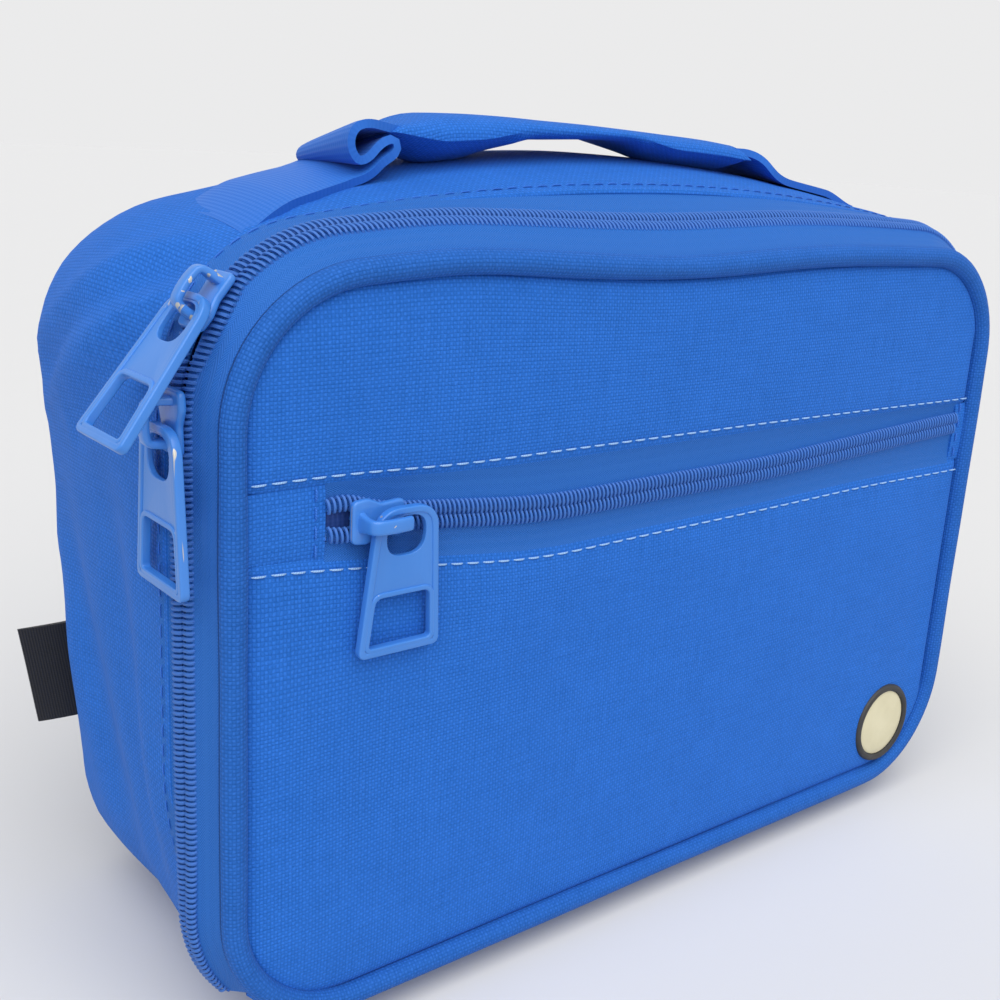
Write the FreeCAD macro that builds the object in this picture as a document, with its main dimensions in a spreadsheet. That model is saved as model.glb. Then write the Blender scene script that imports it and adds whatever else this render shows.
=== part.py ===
import FreeCAD, Part
import math
import operator
import os
import types

import Sketcher
from FreeCAD import Placement, Rotation, Vector

# Soft insulated lunch box: a zipped fabric case with a front lid, a pocket and a top handle.
# Millimetres, +Z up, front towards -Y.  The origin is on the floor, under the middle of the case.

# Every driving size: name, value, what it measures (lengths in mm, angles in degrees).
SIZES = (
    ("half_depth", 50.0, "lid plane, and back of the case, from the middle"),
    ("front_width", 260.0, "lid, over the piping"),
    ("front_base", 6.0, "lower edge of the lid above the floor"),
    ("front_crest", 180.0, "upper edge of the lid above the floor"),
    ("front_corner", 33.0, "corner radius of the lid"),
    ("front_crown", 2500.0, "radius of the lid's upper edge"),
    ("mouth_width", 269.0, "case at its front edge"),
    ("mouth_top", 191.0, "top of the case at its front edge"),
    ("mouth_corner", 38.0, "corner radius at the front edge"),
    ("mouth_crown", 700.0, "radius of the upper edge at the front edge"),
    ("mouth_setback", 17.0, "front edge of the case behind the lid plane"),
    ("belly_width", 274.0, "case at its widest"),
    ("belly_top", 198.6, "crown of the case"),
    ("belly_corner", 40.0, "corner radius at the widest"),
    ("belly_crown", 460.0, "radius of the crown"),
    ("back_width", 269.0, "case at its back"),
    ("back_top", 193.0, "top of the case at its back"),
    ("back_corner", 38.0, "corner radius at the back"),
    ("back_crown", 480.0, "radius of the upper edge at the back"),
    ("back_round", 14.0, "rounding of the back edge"),
    ("sole", 0.3, "slack of the underside, pressed flat where the case stands"),
    ("fabric", 1.2, "outer fabric"),
    ("foam", 5.0, "insulation in the case walls"),
    ("liner", 0.6, "wipe-clean lining"),
    ("ply_gap", 0.3, "slack between plies"),
    ("binding", 1.1, "binding tape, thickness"),
    ("binding_width", 6.5, "binding tape, width"),
    ("piping", 6.0, "piping, diameter"),
    ("piping_cord", 4.4, "cord in the piping, diameter"),
    ("tape", 0.8, "zip tape, thickness"),
    ("coil_width", 2.3, "one coil row, width"),
    ("coil_gap", 1.2, "between the two coil rows"),
    ("coil_proud", 0.7, "coil outside the tape's face"),
    ("coil_deep", 1.5, "coil inside the tape's face"),
    ("zip_setback", 10.0, "middle of the main zip behind the lid plane"),
    ("zip_level", 0.5, "zip between lid outline (0) and mouth outline (1)"),
    ("zip_foot", 14.0, "lower ends of the main zip above the floor"),
    ("tape_start", 1.7, "front edge of the lid's tape behind the lid plane"),
    ("hinge_start", 2.2, "front edge of the hinge strip behind the lid plane"),
    ("slider_room", 4.6, "kept free inside the zip for the sliders"),
    ("pocket_height", 121.5, "middle of the pocket zip above the floor"),
    ("pocket_window", 18.0, "gap between the front panels"),
    ("pocket_left", 106.5, "left end of the pocket tape from the middle"),
    ("pocket_right", 119.0, "right end of the pocket tape from the middle"),
    ("pocket_depth", 5.2, "pocket, front to back"),
    ("pocket_side", 2.0, "pocket beyond the right end of its zip"),
    ("pocket_floor", 18.0, "bottom of the pocket above the floor"),
    ("pocket_margin", 9.0, "top of the pocket above its zip window"),
    ("pocket_corner", 14.0, "clipped corners of the pocket"),
    ("seam_gap", 0.2, "panel edge to piping"),
    ("lid_foam", 3.5, "insulation in the lid"),
    ("patch_x", 102.0, "round patch from the middle"),
    ("patch_z", 27.0, "round patch above the floor"),
    ("patch_size", 26.0, "round patch, diameter"),
    ("patch_depth", 1.6, "round patch, thickness"),
    ("patch_rim", 2.2, "rim of the round patch"),
    ("patch_recess", 0.7, "depth of the face in the rim"),
    ("label_height", 27.0, "side label, height"),
    ("label_low", 47.0, "side label above the floor"),
    ("label_out", 13.0, "side label, length outside the seam"),
    ("label_thick", 1.2, "side label, thickness"),
    ("label_setback", 2.5, "side label in front of the back face"),
    ("grip_half", 68.0, "half length of the handle's grip"),
    ("grip_width", 28.0, "grip, front to back"),
    ("grip_thick", 4.0, "grip, thickness"),
    ("finger_gap", 4.8, "crown of the case to the underside of the grip"),
    ("grip_front", 3.0, "grip in front of the middle"),
    ("strap_width", 30.0, "strap, front to back"),
    ("strap", 1.6, "strap, thickness"),
    ("strap_lift", 0.3, "strap above the case"),
    ("strap_foot", 112.0, "outer end of the strap from the middle"),
    ("strap_turn", 68.0, "inner fold of the left strap from the middle"),
    ("strap_loop", 73.5, "middle of the left strap's outer loop"),
    ("strap_fold", 1.3, "radius of the inner fold"),
    ("strap_rise", 78.0, "where the right strap leaves the case"),
    ("slider_length", 13.0, "slider"),
    ("slider_wide", 10.0, "slider at its two-row end"),
    ("slider_narrow", 8.0, "slider at its one-row end"),
    ("slider_above", 0.8, "coil to the slider's outer plate"),
    ("slider_below", 1.2, "coil to the slider's inner plate"),
    ("slider_outer", 1.7, "slider's outer plate, thickness"),
    ("slider_inner", 1.2, "slider's inner plate, thickness"),
    ("slider_post", 0.7, "post between the coil rows, thickness"),
    ("slider_post_long", 2.5, "post, length"),
    ("cap_length", 10.5, "slider's cap"),
    ("cap_width", 2.4, "cap, across"),
    ("cap_slot", 4.0, "room under the cap"),
    ("cap_bar", 1.6, "cap, thickness"),
    ("cap_foot", 2.1, "foot of the cap"),
    ("cap_round", 2.0, "corner radius of the cap"),
    ("pull_top", 15.0, "pull, width at the eye"),
    ("pull_bottom", 21.0, "pull, width at its end"),
    ("pull_length", 33.4, "pull, length"),
    ("pull_thick", 2.0, "pull, thickness"),
    ("pull_bar", 2.0, "bar above the eye"),
    ("pull_eye", 8.8, "eye, height"),
    ("pull_eye_width", 8.5, "eye, width"),
    ("pull_middle", 9.3, "middle bar"),
    ("pull_rim", 2.3, "rim around the window"),
    ("pull_round", 0.6, "edge rounding of the pull"),
    ("pull_corner", 3.0, "corner radius of the pull"),
    ("pull_recess", 0.4, "depth of the middle panel"),
    ("pull_tilt", 3.5, "lean of the pocket pull towards the panel"),
    ("pull_play", 0.95, "room between the pocket pull and its cap, front to back"),
    ("pull_nest", 0.3, "how far the pocket pull's bar drops behind its cap"),
    ("pull_shift", 5.4, "pocket pull right of its cap"),
    ("lower_slider_z", 147.0, "lower slider above the floor"),
    ("upper_slider_turn", 37.0, "upper slider round the corner"),
    ("pocket_slider_in", 11.5, "pocket slider from the left end of its tape"),
)

OPERATIONS = {"+": operator.add, "-": operator.sub, "*": operator.mul, "/": operator.truediv}


class Size:
    """A number together with the expression that gives it from the sheet."""

    def __init__(self, value, text):
        self.value = float(value)
        self.text = text

    def join(self, sign, other, flipped=False):
        other = as_size(other)
        left, right = (other, self) if flipped else (self, other)
        value = OPERATIONS[sign](left.value, right.value)
        return Size(value, f"({left.text} {sign} {right.text})")

    def __add__(self, other):
        return self.join("+", other)

    def __radd__(self, other):
        return self.join("+", other, True)

    def __sub__(self, other):
        return self.join("-", other)

    def __rsub__(self, other):
        return self.join("-", other, True)

    def __mul__(self, other):
        return self.join("*", other)

    def __rmul__(self, other):
        return self.join("*", other, True)

    def __truediv__(self, other):
        return self.join("/", other)

    def __neg__(self):
        return self.join("*", -1)


def as_size(number):
    return number if isinstance(number, Size) else Size(number, repr(float(number)))


def bind(target, name, size):
    target.setExpression(name, as_size(size).text)


doc = FreeCAD.newDocument("LunchBox")
sheet = doc.addObject("Spreadsheet::Sheet", "Sizes")
for row, (alias, number, note) in enumerate(SIZES, 1):
    sheet.set(f"A{row}", note)
    sheet.set(f"B{row}", str(number))
    sheet.setAlias(f"B{row}", alias)
doc.recompute()
S = types.SimpleNamespace(**{alias: Size(sheet.get(alias), f"Sizes.{alias}") for alias, _, _ in SIZES})
PARTS = []


class Outline:
    """A rounded outline in the XZ plane: straight sides and base, arched top, four equal corners."""

    def __init__(self, half, base, top, corner, crown):
        self.half = as_size(half)
        self.base = as_size(base)
        self.top = as_size(top)
        self.corner = as_size(corner)
        self.crown = as_size(crown)

    def inset(self, by):
        by = as_size(by)
        return Outline(self.half - by, self.base + by, self.top - by, self.corner - by, self.crown - by)

    def blend(self, other, share):
        names = ("half", "base", "top", "corner", "crown")
        return Outline(*(getattr(self, n) + (getattr(other, n) - getattr(self, n)) * share for n in names))

    def corner_centre(self):
        """Centre of the upper right corner arc, as numbers."""
        x = self.half.value - self.corner.value
        low = self.top.value - self.crown.value
        reach = self.crown.value - self.corner.value
        return x, low + math.sqrt(reach ** 2 - x ** 2)

    def height_at(self, x):
        """Height of the arched top, or of a corner arc, above a point of the width."""
        cx, cz = self.corner_centre()
        low = self.top.value - self.crown.value
        joint = cx + self.corner.value * cx / math.hypot(cx, cz - low)
        if abs(x) <= joint:
            return low + math.sqrt(self.crown.value ** 2 - x ** 2)
        return cz + math.sqrt(self.corner.value ** 2 - (abs(x) - cx) ** 2)


FRONT = Outline(S.front_width / 2, S.front_base, S.front_crest, S.front_corner, S.front_crown)
MOUTH = Outline(S.mouth_width / 2, -S.sole, S.mouth_top, S.mouth_corner, S.mouth_crown)
BELLY = Outline(S.belly_width / 2, -S.sole, S.belly_top, S.belly_corner, S.belly_crown)
BACK = Outline(S.back_width / 2, -S.sole, S.back_top, S.back_corner, S.back_crown)
ZIP = FRONT.blend(MOUTH, S.zip_level)

LID_Y = -S.half_depth
MOUTH_Y = LID_Y + S.mouth_setback
BACK_Y = S.half_depth
ZIP_Y = LID_Y + S.zip_setback
ROW_IN = S.coil_gap / 2
ROW_OUT = ROW_IN + S.coil_width


def hold(sketch, kind, *where, size):
    """Add one dimension to a sketch and bind it to the sheet."""
    number = sketch.addConstraint(Sketcher.Constraint(kind, *where, as_size(size).value))
    bind(sketch, f"Constraints[{number}]", size)


def draw_outline(sketch, outline):
    half, base, top = outline.half.value, outline.base.value, outline.top.value
    corner, crown = outline.corner.value, outline.crown.value
    cx, cz = outline.corner_centre()
    low = top - crown
    lean = math.atan2(cz - low, cx)

    def arc(x, z, radius, start, end):
        circle = Part.Circle(Vector(x, z, 0), Vector(0, 0, 1), radius)
        return Part.ArcOfCircle(circle, start, end)

    def line(x0, z0, x1, z1):
        return Part.LineSegment(Vector(x0, z0, 0), Vector(x1, z1, 0))

    quarter = math.pi / 2
    first = sketch.GeometryCount
    shapes = (
        line(-cx, base, cx, base),
        arc(cx, base + corner, corner, -quarter, 0),
        line(half, base + corner, half, cz),
        arc(cx, cz, corner, 0, lean),
        arc(0, low, crown, lean, math.pi - lean),
        arc(-cx, cz, corner, math.pi - lean, math.pi),
        line(-half, cz, -half, base + corner),
        arc(-cx, base + corner, corner, math.pi, 3 * quarter),
    )
    for shape in shapes:
        sketch.addGeometry(shape, False)
    count = len(shapes)
    for i in range(count):
        after = first + (i + 1) % count
        sketch.addConstraint(Sketcher.Constraint("Tangent", first + i, 2, after, 1))
    sketch.addConstraint(Sketcher.Constraint("Horizontal", first))
    for side in (2, 6):
        sketch.addConstraint(Sketcher.Constraint("Vertical", first + side))
    for other in (3, 5, 7):
        sketch.addConstraint(Sketcher.Constraint("Equal", first + 1, first + other))
    sketch.addConstraint(Sketcher.Constraint("PointOnObject", first + 4, 3, -2))
    hold(sketch, "DistanceX", -1, 1, first + 2, 1, size=outline.half)
    hold(sketch, "DistanceX", first + 6, 1, -1, 1, size=outline.half)
    hold(sketch, "Radius", first + 1, size=outline.corner)
    hold(sketch, "Radius", first + 4, size=outline.crown)
    hold(sketch, "DistanceY", first + 4, 3, -1, 1, size=outline.crown - outline.top)
    hold(sketch, "DistanceY", first + 4, 3, first, 1, size=outline.crown - outline.top + outline.base)


def draw_polygon(sketch, points):
    first = sketch.GeometryCount
    count = len(points)
    spots = [Vector(as_size(x).value, as_size(y).value, 0) for x, y in points]
    for i in range(count):
        sketch.addGeometry(Part.LineSegment(spots[i], spots[(i + 1) % count]), False)
    for i in range(count):
        after = first + (i + 1) % count
        sketch.addConstraint(Sketcher.Constraint("Coincident", first + i, 2, after, 1))
    for i, (x, y) in enumerate(points):
        hold(sketch, "DistanceX", -1, 1, first + i, 1, size=x)
        hold(sketch, "DistanceY", -1, 1, first + i, 1, size=y)


def draw_box(sketch, x0, x1, y0, y1):
    draw_polygon(sketch, ((x0, y0), (x1, y0), (x1, y1), (x0, y1)))


def draw_circle(sketch, x, y, diameter):
    centre = Vector(as_size(x).value, as_size(y).value, 0)
    number = sketch.GeometryCount
    sketch.addGeometry(Part.Circle(centre, Vector(0, 0, 1), as_size(diameter).value / 2), False)
    hold(sketch, "DistanceX", -1, 1, number, 3, size=x)
    hold(sketch, "DistanceY", -1, 1, number, 3, size=y)
    hold(sketch, "Diameter", number, size=diameter)


class Piece:
    """One sub-part as a body, with short calls for its sketches and features."""

    def __init__(self, label):
        self.body = doc.addObject("PartDesign::Body", label)
        self.body.Label = label
        self.made = 0
        PARTS.append(self.body)

    def add(self, kind, word):
        self.made += 1
        return self.body.newObject(kind, f"{self.body.Name}_{word}{self.made}")

    def sketch(self, plane, offset=0.0):
        sketch = self.add("Sketcher::SketchObject", "sketch")
        support = next(f for f in self.body.Origin.OriginFeatures if f.Role == plane)
        sketch.AttachmentSupport = [(support, "")]
        sketch.MapMode = "FlatFace"
        bind(sketch, "AttachmentOffset.Base.z", offset)
        return sketch

    def upright(self, y, *outlines):
        """A sketch of whole outlines across the depth, at a given y."""
        sketch = self.sketch("XZ_Plane", -as_size(y))
        for outline in outlines:
            draw_outline(sketch, outline)
        return sketch

    def pad(self, sketch, length, backwards=False, both=False):
        feature = self.add("PartDesign::Pad", "pad")
        feature.Profile = sketch
        feature.Reversed = backwards
        feature.Midplane = both
        bind(feature, "Length", length)
        return feature

    def pocket(self, sketch, length, backwards=False):
        doc.recompute()
        before = self.body.Shape.Volume
        feature = self.add("PartDesign::Pocket", "pocket")
        feature.Profile = sketch
        feature.Reversed = backwards
        bind(feature, "Length", length)
        self.expect_less(before)
        return feature

    def expect_less(self, before):
        doc.recompute()
        if self.body.Shape.isNull() or not self.body.Shape.Volume < before - 1e-6:
            raise RuntimeError(f"{self.body.Label}: a cut took nothing away")

    def loft(self, sketches, cut=False):
        before = 0.0
        if cut:
            doc.recompute()
            before = self.body.Shape.Volume
        kind = "Subtractive" if cut else "Additive"
        feature = self.add(f"PartDesign::{kind}Loft", "loft")
        feature.Profile = sketches[0]
        feature.Sections = sketches[1:]
        feature.Ruled = True
        if cut:
            self.expect_less(before)
        return feature

    def fillet(self, radius, chosen):
        doc.recompute()
        tip = self.body.Tip
        names = [f"Edge{i}" for i, edge in enumerate(tip.Shape.Edges, 1) if chosen(edge)]
        feature = self.add("PartDesign::Fillet", "round")
        feature.Base = (tip, names)
        bind(feature, "Radius", radius)
        return feature


def edges_in_plane(axis, level):
    """A test for edges that lie in a plane across one axis."""
    level = as_size(level).value

    def chosen(edge):
        box = edge.BoundBox
        low, high = (getattr(box, f"{axis}{end}") for end in ("Min", "Max"))
        return abs(low - level) < 1e-4 and abs(high - level) < 1e-4

    return chosen


def edges_along(axis):
    """A test for straight edges along one axis."""

    def chosen(edge):
        way = edge.tangentAt(edge.FirstParameter)
        return type(edge.Curve).__name__ == "Line" and abs(abs(getattr(way, axis)) - 1) < 1e-6

    return chosen


ROUND_STEPS = 4


def case_stations(depth):
    """Outlines of the case from mouth to back, this deep below its surface, with the rounded back edge."""
    stations = [(MOUTH_Y, MOUTH.inset(depth)), (as_size(0), BELLY.inset(depth))]
    radius = S.back_round - depth
    for step in range(ROUND_STEPS + 1):
        angle = math.pi / 2 * step / ROUND_STEPS
        y = BACK_Y - S.back_round + radius * math.sin(angle)
        stations.append((y, BACK.inset(S.back_round - radius * math.cos(angle))))
    return stations


def case_shell(label, outside, thickness, closed):
    """A ply of the case: a bulged ring with a rounded back edge, open or closed at the back."""
    piece = Piece(label)
    piece.loft([piece.upright(y, outline) for y, outline in case_stations(outside)])
    piece.loft([piece.upright(y, outline) for y, outline in case_stations(outside + thickness)], cut=True)
    if not closed:
        rear = BACK_Y - outside
        piece.pocket(piece.upright(rear + 1, BACK.inset(S.back_round)), thickness + 2, backwards=True)
    return piece


def plate(label, y, thickness, outline):
    piece = Piece(label)
    piece.pad(piece.upright(y, outline), thickness, backwards=True)
    return piece


def ring(label, y, thickness, outer, inner):
    piece = Piece(label)
    piece.pad(piece.upright(y, outer, inner), thickness, backwards=True)
    return piece


def strip(label, y0, outline0, y1, outline1, thickness):
    """A sloping band of cloth between two outlines."""
    piece = Piece(label)
    piece.loft([piece.upright(y0, outline0), piece.upright(y1, outline1)])
    inner = [piece.upright(y0, outline0.inset(thickness)), piece.upright(y1, outline1.inset(thickness))]
    piece.loft(inner, cut=True)
    return piece


def trim(piece, y0, x0, x1, z0, z1, length):
    """Cut a block out of a piece, from y0 backwards."""
    sketch = piece.sketch("XZ_Plane", -as_size(y0))
    draw_box(sketch, x0, x1, z0, z1)
    piece.pocket(sketch, length)


FAR = S.belly_width
ALL_DEPTH = S.half_depth * 4

# The case: outer fabric, insulation, lining and the binding round its mouth.
FOAM_IN = S.fabric + S.ply_gap
LINER_IN = FOAM_IN + S.foam + S.ply_gap
gusset = case_shell("gusset", as_size(0), S.fabric, closed=False)
trim(gusset, LID_Y, -FAR, FAR, -FAR, 0, ALL_DEPTH)
case_shell("gusset_foam", FOAM_IN, S.foam, closed=False)
case_shell("case_liner", LINER_IN, S.liner, closed=True)
rear = BACK.inset(S.back_round + S.seam_gap)
plate("rear_panel", BACK_Y - S.fabric, S.fabric, rear)
plate("rear_foam", BACK_Y - FOAM_IN - S.foam, S.foam, rear)
bound = MOUTH.inset(S.fabric * 2)
ring("case_binding", MOUTH_Y - S.binding, S.binding, bound, bound.inset(S.binding_width))

# The main zip: tape and coil rows on both sides, and the hinge strip that closes the bottom.
case_tape = strip("case_zip_tape", ZIP_Y + ROW_OUT, ZIP, MOUTH_Y, MOUTH, S.tape)
lid_tape = strip("lid_zip_tape", LID_Y + S.tape_start, FRONT.blend(ZIP, 0.2), ZIP_Y - ROW_OUT, ZIP, S.tape)
coil_out = ZIP.inset(-S.coil_proud)
coil_in = ZIP.inset(S.coil_deep)
case_coil = ring("case_zip_coil", ZIP_Y + ROW_IN, S.coil_width, coil_out, coil_in)
lid_coil = ring("lid_zip_coil", ZIP_Y - ROW_OUT, S.coil_width, coil_out, coil_in)
for piece in (case_tape, lid_tape, case_coil, lid_coil):
    trim(piece, LID_Y, -FAR, FAR, -FAR, S.zip_foot, ALL_DEPTH)
hinge = strip("hinge_strip", LID_Y + S.hinge_start, FRONT.blend(MOUTH, 0.12), MOUTH_Y, MOUTH, S.fabric)
trim(hinge, LID_Y, -FAR, FAR, S.zip_foot, FAR, ALL_DEPTH)
trim(hinge, LID_Y, -FAR, FAR, -FAR, 0, ALL_DEPTH)

# The lid: piping, two front panels with the pocket zip between them, pocket, insulation, lining.
path_outline = FRONT.inset(S.piping / 2)


def round_pipe(piece, diameter, cut=False):
    """A round section carried along the lid's edge, added to a piece or taken out of it."""
    before = 0.0
    if cut:
        doc.recompute()
        before = piece.body.Shape.Volume
    path = piece.upright(LID_Y, path_outline)
    section = piece.sketch("YZ_Plane")
    draw_circle(section, LID_Y, path_outline.base, diameter)
    kind = "Subtractive" if cut else "Additive"
    pipe = piece.add(f"PartDesign::{kind}Pipe", "pipe")
    pipe.Profile = section
    pipe.Spine = (path, [f"Edge{i}" for i in range(1, path.GeometryCount + 1)])
    if cut:
        piece.expect_less(before)


cover = Piece("front_piping")
round_pipe(cover, S.piping)
round_pipe(cover, S.piping_cord + S.seam_gap, cut=True)
round_pipe(Piece("piping_cord"), S.piping_cord)

PANEL_Y = LID_Y - S.fabric / 2
panel_outline = FRONT.inset(S.piping + S.seam_gap)
window_top = S.pocket_height + S.pocket_window / 2
window_low = S.pocket_height - S.pocket_window / 2
upper = plate("front_panel_upper", PANEL_Y, S.fabric, panel_outline)
trim(upper, PANEL_Y - 1, -FAR, FAR, -FAR, window_top, S.fabric + 2)
lower = plate("front_panel_lower", PANEL_Y, S.fabric, panel_outline)
trim(lower, PANEL_Y - 1, -FAR, FAR, window_low, FAR, S.fabric + 2)


def pocket_strip(label, x0, x1, z0, z1, y0, thickness):
    piece = Piece(label)
    sketch = piece.sketch("XZ_Plane", -as_size(y0))
    draw_box(sketch, x0, x1, z0, z1)
    piece.pad(sketch, thickness, backwards=True)


TAPE_Y = LID_Y - S.tape / 2
COIL_Y = LID_Y - S.coil_proud
COIL_DEEP = S.coil_proud + S.coil_deep
mid = S.pocket_height
edge = panel_outline.half
ends = (-S.pocket_left, S.pocket_right)
pocket_strip("pocket_tape_upper", *ends, mid + ROW_OUT, window_top, TAPE_Y, S.tape)
pocket_strip("pocket_tape_lower", *ends, window_low, mid - ROW_OUT, TAPE_Y, S.tape)
pocket_strip("pocket_coil_upper", *ends, mid + ROW_IN, mid + ROW_OUT, COIL_Y, COIL_DEEP)
pocket_strip("pocket_coil_lower", *ends, mid - ROW_OUT, mid - ROW_IN, COIL_Y, COIL_DEEP)
pocket_strip("pocket_tab_left", -edge, -S.pocket_left, window_low, window_top, PANEL_Y, S.fabric)
pocket_strip("pocket_tab_right", S.pocket_right, edge, window_low, window_top, PANEL_Y, S.fabric)

POCKET_Y = LID_Y + S.fabric / 2


def draw_pocket(sketch, inset):
    """The pocket's outline, a box with clipped corners, drawn in by an even distance."""
    half = S.pocket_right + S.pocket_side - inset
    low = S.pocket_floor + inset
    high = window_top + S.pocket_margin - inset
    clip = S.pocket_corner - inset * (2 - math.sqrt(2))
    rising = ((half - clip, low), (half, low + clip), (half, high - clip), (half - clip, high))
    draw_polygon(sketch, list(rising) + [(-x, z) for x, z in reversed(rising)])


bag = Piece("pocket_lining")
sketch = bag.sketch("XZ_Plane", -POCKET_Y)
draw_pocket(sketch, as_size(0))
bag.pad(sketch, S.pocket_depth, backwards=True)
hollow = bag.sketch("XZ_Plane", -POCKET_Y)
draw_pocket(hollow, S.liner)
bag.pocket(hollow, S.pocket_depth - S.liner)

lid_inside = ZIP.inset(S.slider_room)
LID_FOAM_Y = POCKET_Y + S.pocket_depth + S.seam_gap / 2
LID_LINER_Y = LID_FOAM_Y + S.lid_foam + S.seam_gap / 2
LID_BINDING_Y = LID_LINER_Y + S.liner + S.seam_gap / 2
plate("lid_foam", LID_FOAM_Y, S.lid_foam, lid_inside)
plate("lid_liner", LID_LINER_Y, S.liner, lid_inside)
ring("lid_binding", LID_BINDING_Y, S.binding, lid_inside, lid_inside.inset(S.binding_width))

# The round patch: a rim with a recessed face.
rim = Piece("patch_base")
sketch = rim.sketch("XZ_Plane", -PANEL_Y)
draw_circle(sketch, S.patch_x, S.patch_z, S.patch_size)
rim.pad(sketch, S.patch_depth)
PATCH_Y = PANEL_Y - S.patch_depth
recess = rim.sketch("XZ_Plane", -PATCH_Y)
face_size = S.patch_size - S.patch_rim * 2
draw_circle(recess, S.patch_x, S.patch_z, face_size)
rim.pocket(recess, S.patch_recess)
face = Piece("patch_face")
sketch = face.sketch("XZ_Plane", -(PATCH_Y + S.patch_recess))
draw_circle(sketch, S.patch_x, S.patch_z, face_size - S.seam_gap)
face.pad(sketch, S.patch_recess * 0.7)

# The side label, sewn into the back seam.
label_y = BACK_Y - S.label_setback
turn = S.back_round.value - S.label_setback.value - S.label_thick.value / 2
hug = S.back_width.value / 2 - S.back_round.value + math.sqrt(S.back_round.value ** 2 - turn ** 2)
tab = doc.addObject("Part::Box", "label_tab")
tab.Label = "label_tab"
bind(tab, "Length", S.label_out)
bind(tab, "Width", S.label_thick)
bind(tab, "Height", S.label_height)
tab_x = -hug - S.ply_gap.value - S.label_out.value
tab_y = label_y.value - S.label_thick.value / 2
tab.Placement = Placement(Vector(tab_x, tab_y, S.label_low.value), Rotation())
PARTS.append(tab)

# The handle: a padded grip and the strap ends that carry it.
GRIP_Z = S.belly_top + S.finger_gap + S.grip_thick / 2
for label, wall in (("handle_grip", None), ("handle_core", S.fabric)):
    piece = Piece(label)
    cut = S.fabric + S.ply_gap / 2
    size_y = S.grip_width / 2 if wall is None else S.grip_width / 2 - cut
    size_z = S.grip_thick / 2 if wall is None else S.grip_thick / 2 - cut
    sketch = piece.sketch("YZ_Plane")
    draw_box(sketch, -S.grip_front - size_y, -S.grip_front + size_y, GRIP_Z - size_z, GRIP_Z + size_z)
    length = S.grip_half * 2 if wall is None else S.grip_half * 2 - 4
    piece.pad(sketch, length, both=True)
    piece.fillet(size_z * 0.9, edges_along("x"))
    if wall is None:
        bore = piece.sketch("YZ_Plane", S.grip_half)
        size_y = S.grip_width / 2 - S.fabric
        size_z = S.grip_thick / 2 - S.fabric
        draw_box(bore, -S.grip_front - size_y, -S.grip_front + size_y, GRIP_Z - size_z, GRIP_Z + size_z)
        piece.pocket(bore, S.grip_half * 2)


class Trace:
    """A flat path in the XZ plane, drawn forwards as lines and arcs that run into each other."""

    def __init__(self, x, z, heading):
        self.spot = Vector(x, 0, z)
        self.heading = heading
        self.edges = []

    def ahead(self, turn=0.0):
        angle = self.heading + turn
        return Vector(math.cos(angle), 0, math.sin(angle))

    def line(self, length):
        end = self.spot + self.ahead() * length
        self.edges.append(Part.LineSegment(self.spot, end).toShape())
        self.spot = end

    def arc(self, radius, turn):
        """Positive turns go left, seen from the front."""
        side = math.copysign(math.pi / 2, turn)
        centre = self.spot + self.ahead(side) * radius
        points = [self.spot]
        for share in (0.5, 1.0):
            angle = self.heading - side + turn * share
            points.append(centre + Vector(math.cos(angle), 0, math.sin(angle)) * radius)
        self.edges.append(Part.Arc(*points).toShape())
        self.spot = points[-1]
        self.heading += turn


def ribbon(label, trace, mirrored=False):
    """A strap of even thickness along a path, as wide as the strap is front to back."""
    across = trace.edges[0].tangentAt(trace.edges[0].FirstParameter)
    start = trace.edges[0].valueAt(trace.edges[0].FirstParameter)
    side = Vector(-across.z, 0, across.x) * (S.strap.value / 2)
    half = Vector(0, S.strap_width.value / 2, 0)
    corners = [start + side + half, start + side - half, start - side - half, start - side + half]
    section = Part.makePolygon(corners + corners[:1])
    solid = Part.Wire(trace.edges).makePipeShell([section], True, False, 0)
    feature = doc.addObject("Part::Feature", label)
    feature.Label = label
    feature.Shape = solid.mirror(Vector(), Vector(1, 0, 0)) if mirrored else solid
    feature.Placement = Placement(Vector(0, -S.grip_front.value, 0), Rotation())
    PARTS.append(feature)


def strap_start(side):
    """A path that begins at the outer end of a strap and lies on the case up to the crown."""
    rest = BELLY.inset(-(S.strap_lift + S.strap / 2))
    cx, cz = rest.corner_centre()
    angle = math.acos((S.strap_foot.value - cx) / rest.corner.value)
    low = rest.top.value - rest.crown.value
    lean = math.atan2(cz - low, cx)
    z = cz + rest.corner.value * math.sin(angle)
    heading = math.pi / 2 - angle
    trace = Trace(-S.strap_foot.value, z, heading)
    trace.arc(rest.corner.value, -(lean - angle))
    stop = S.strap_turn.value if side == "left" else S.strap_rise.value
    trace.arc(rest.crown.value, -(math.acos(stop / rest.crown.value) - lean))
    return trace


grip_end = S.grip_half.value + 0.3
left = strap_start("left")
left.arc(S.strap_fold.value, math.pi - left.heading)
left.line(S.strap_loop.value - S.strap_turn.value)
left.arc((GRIP_Z.value - left.spot.z) / 2, -math.pi)
left.line(-grip_end - left.spot.x)
ribbon("handle_strap_left", left)

right = strap_start("right")
rise = GRIP_Z.value - right.spot.z
run = -grip_end - right.spot.x
first = right.heading


def climb(steep):
    """Rise against run of two even arcs that meet at a slope and end level."""
    return (1 + math.cos(first) - 2 * math.cos(steep)) * run - (2 * math.sin(steep) - math.sin(first)) * rise


shallow, steep = first, math.radians(170)
for _ in range(50):
    middle = (shallow + steep) / 2
    if climb(middle) < 0:
        shallow = middle
    else:
        steep = middle
radius = rise / (1 + math.cos(first) - 2 * math.cos(steep))
right.arc(radius, steep - first)
right.arc(radius, -steep)
ribbon("handle_strap_right", right, mirrored=True)

# Sliders: two plates joined by a post that runs between the coil rows, and a cap that holds the pull.
PLATE_Z = S.coil_proud + S.slider_above
INNER_Z = S.coil_deep + S.slider_below
CAP_Z = PLATE_Z + S.slider_outer


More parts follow.
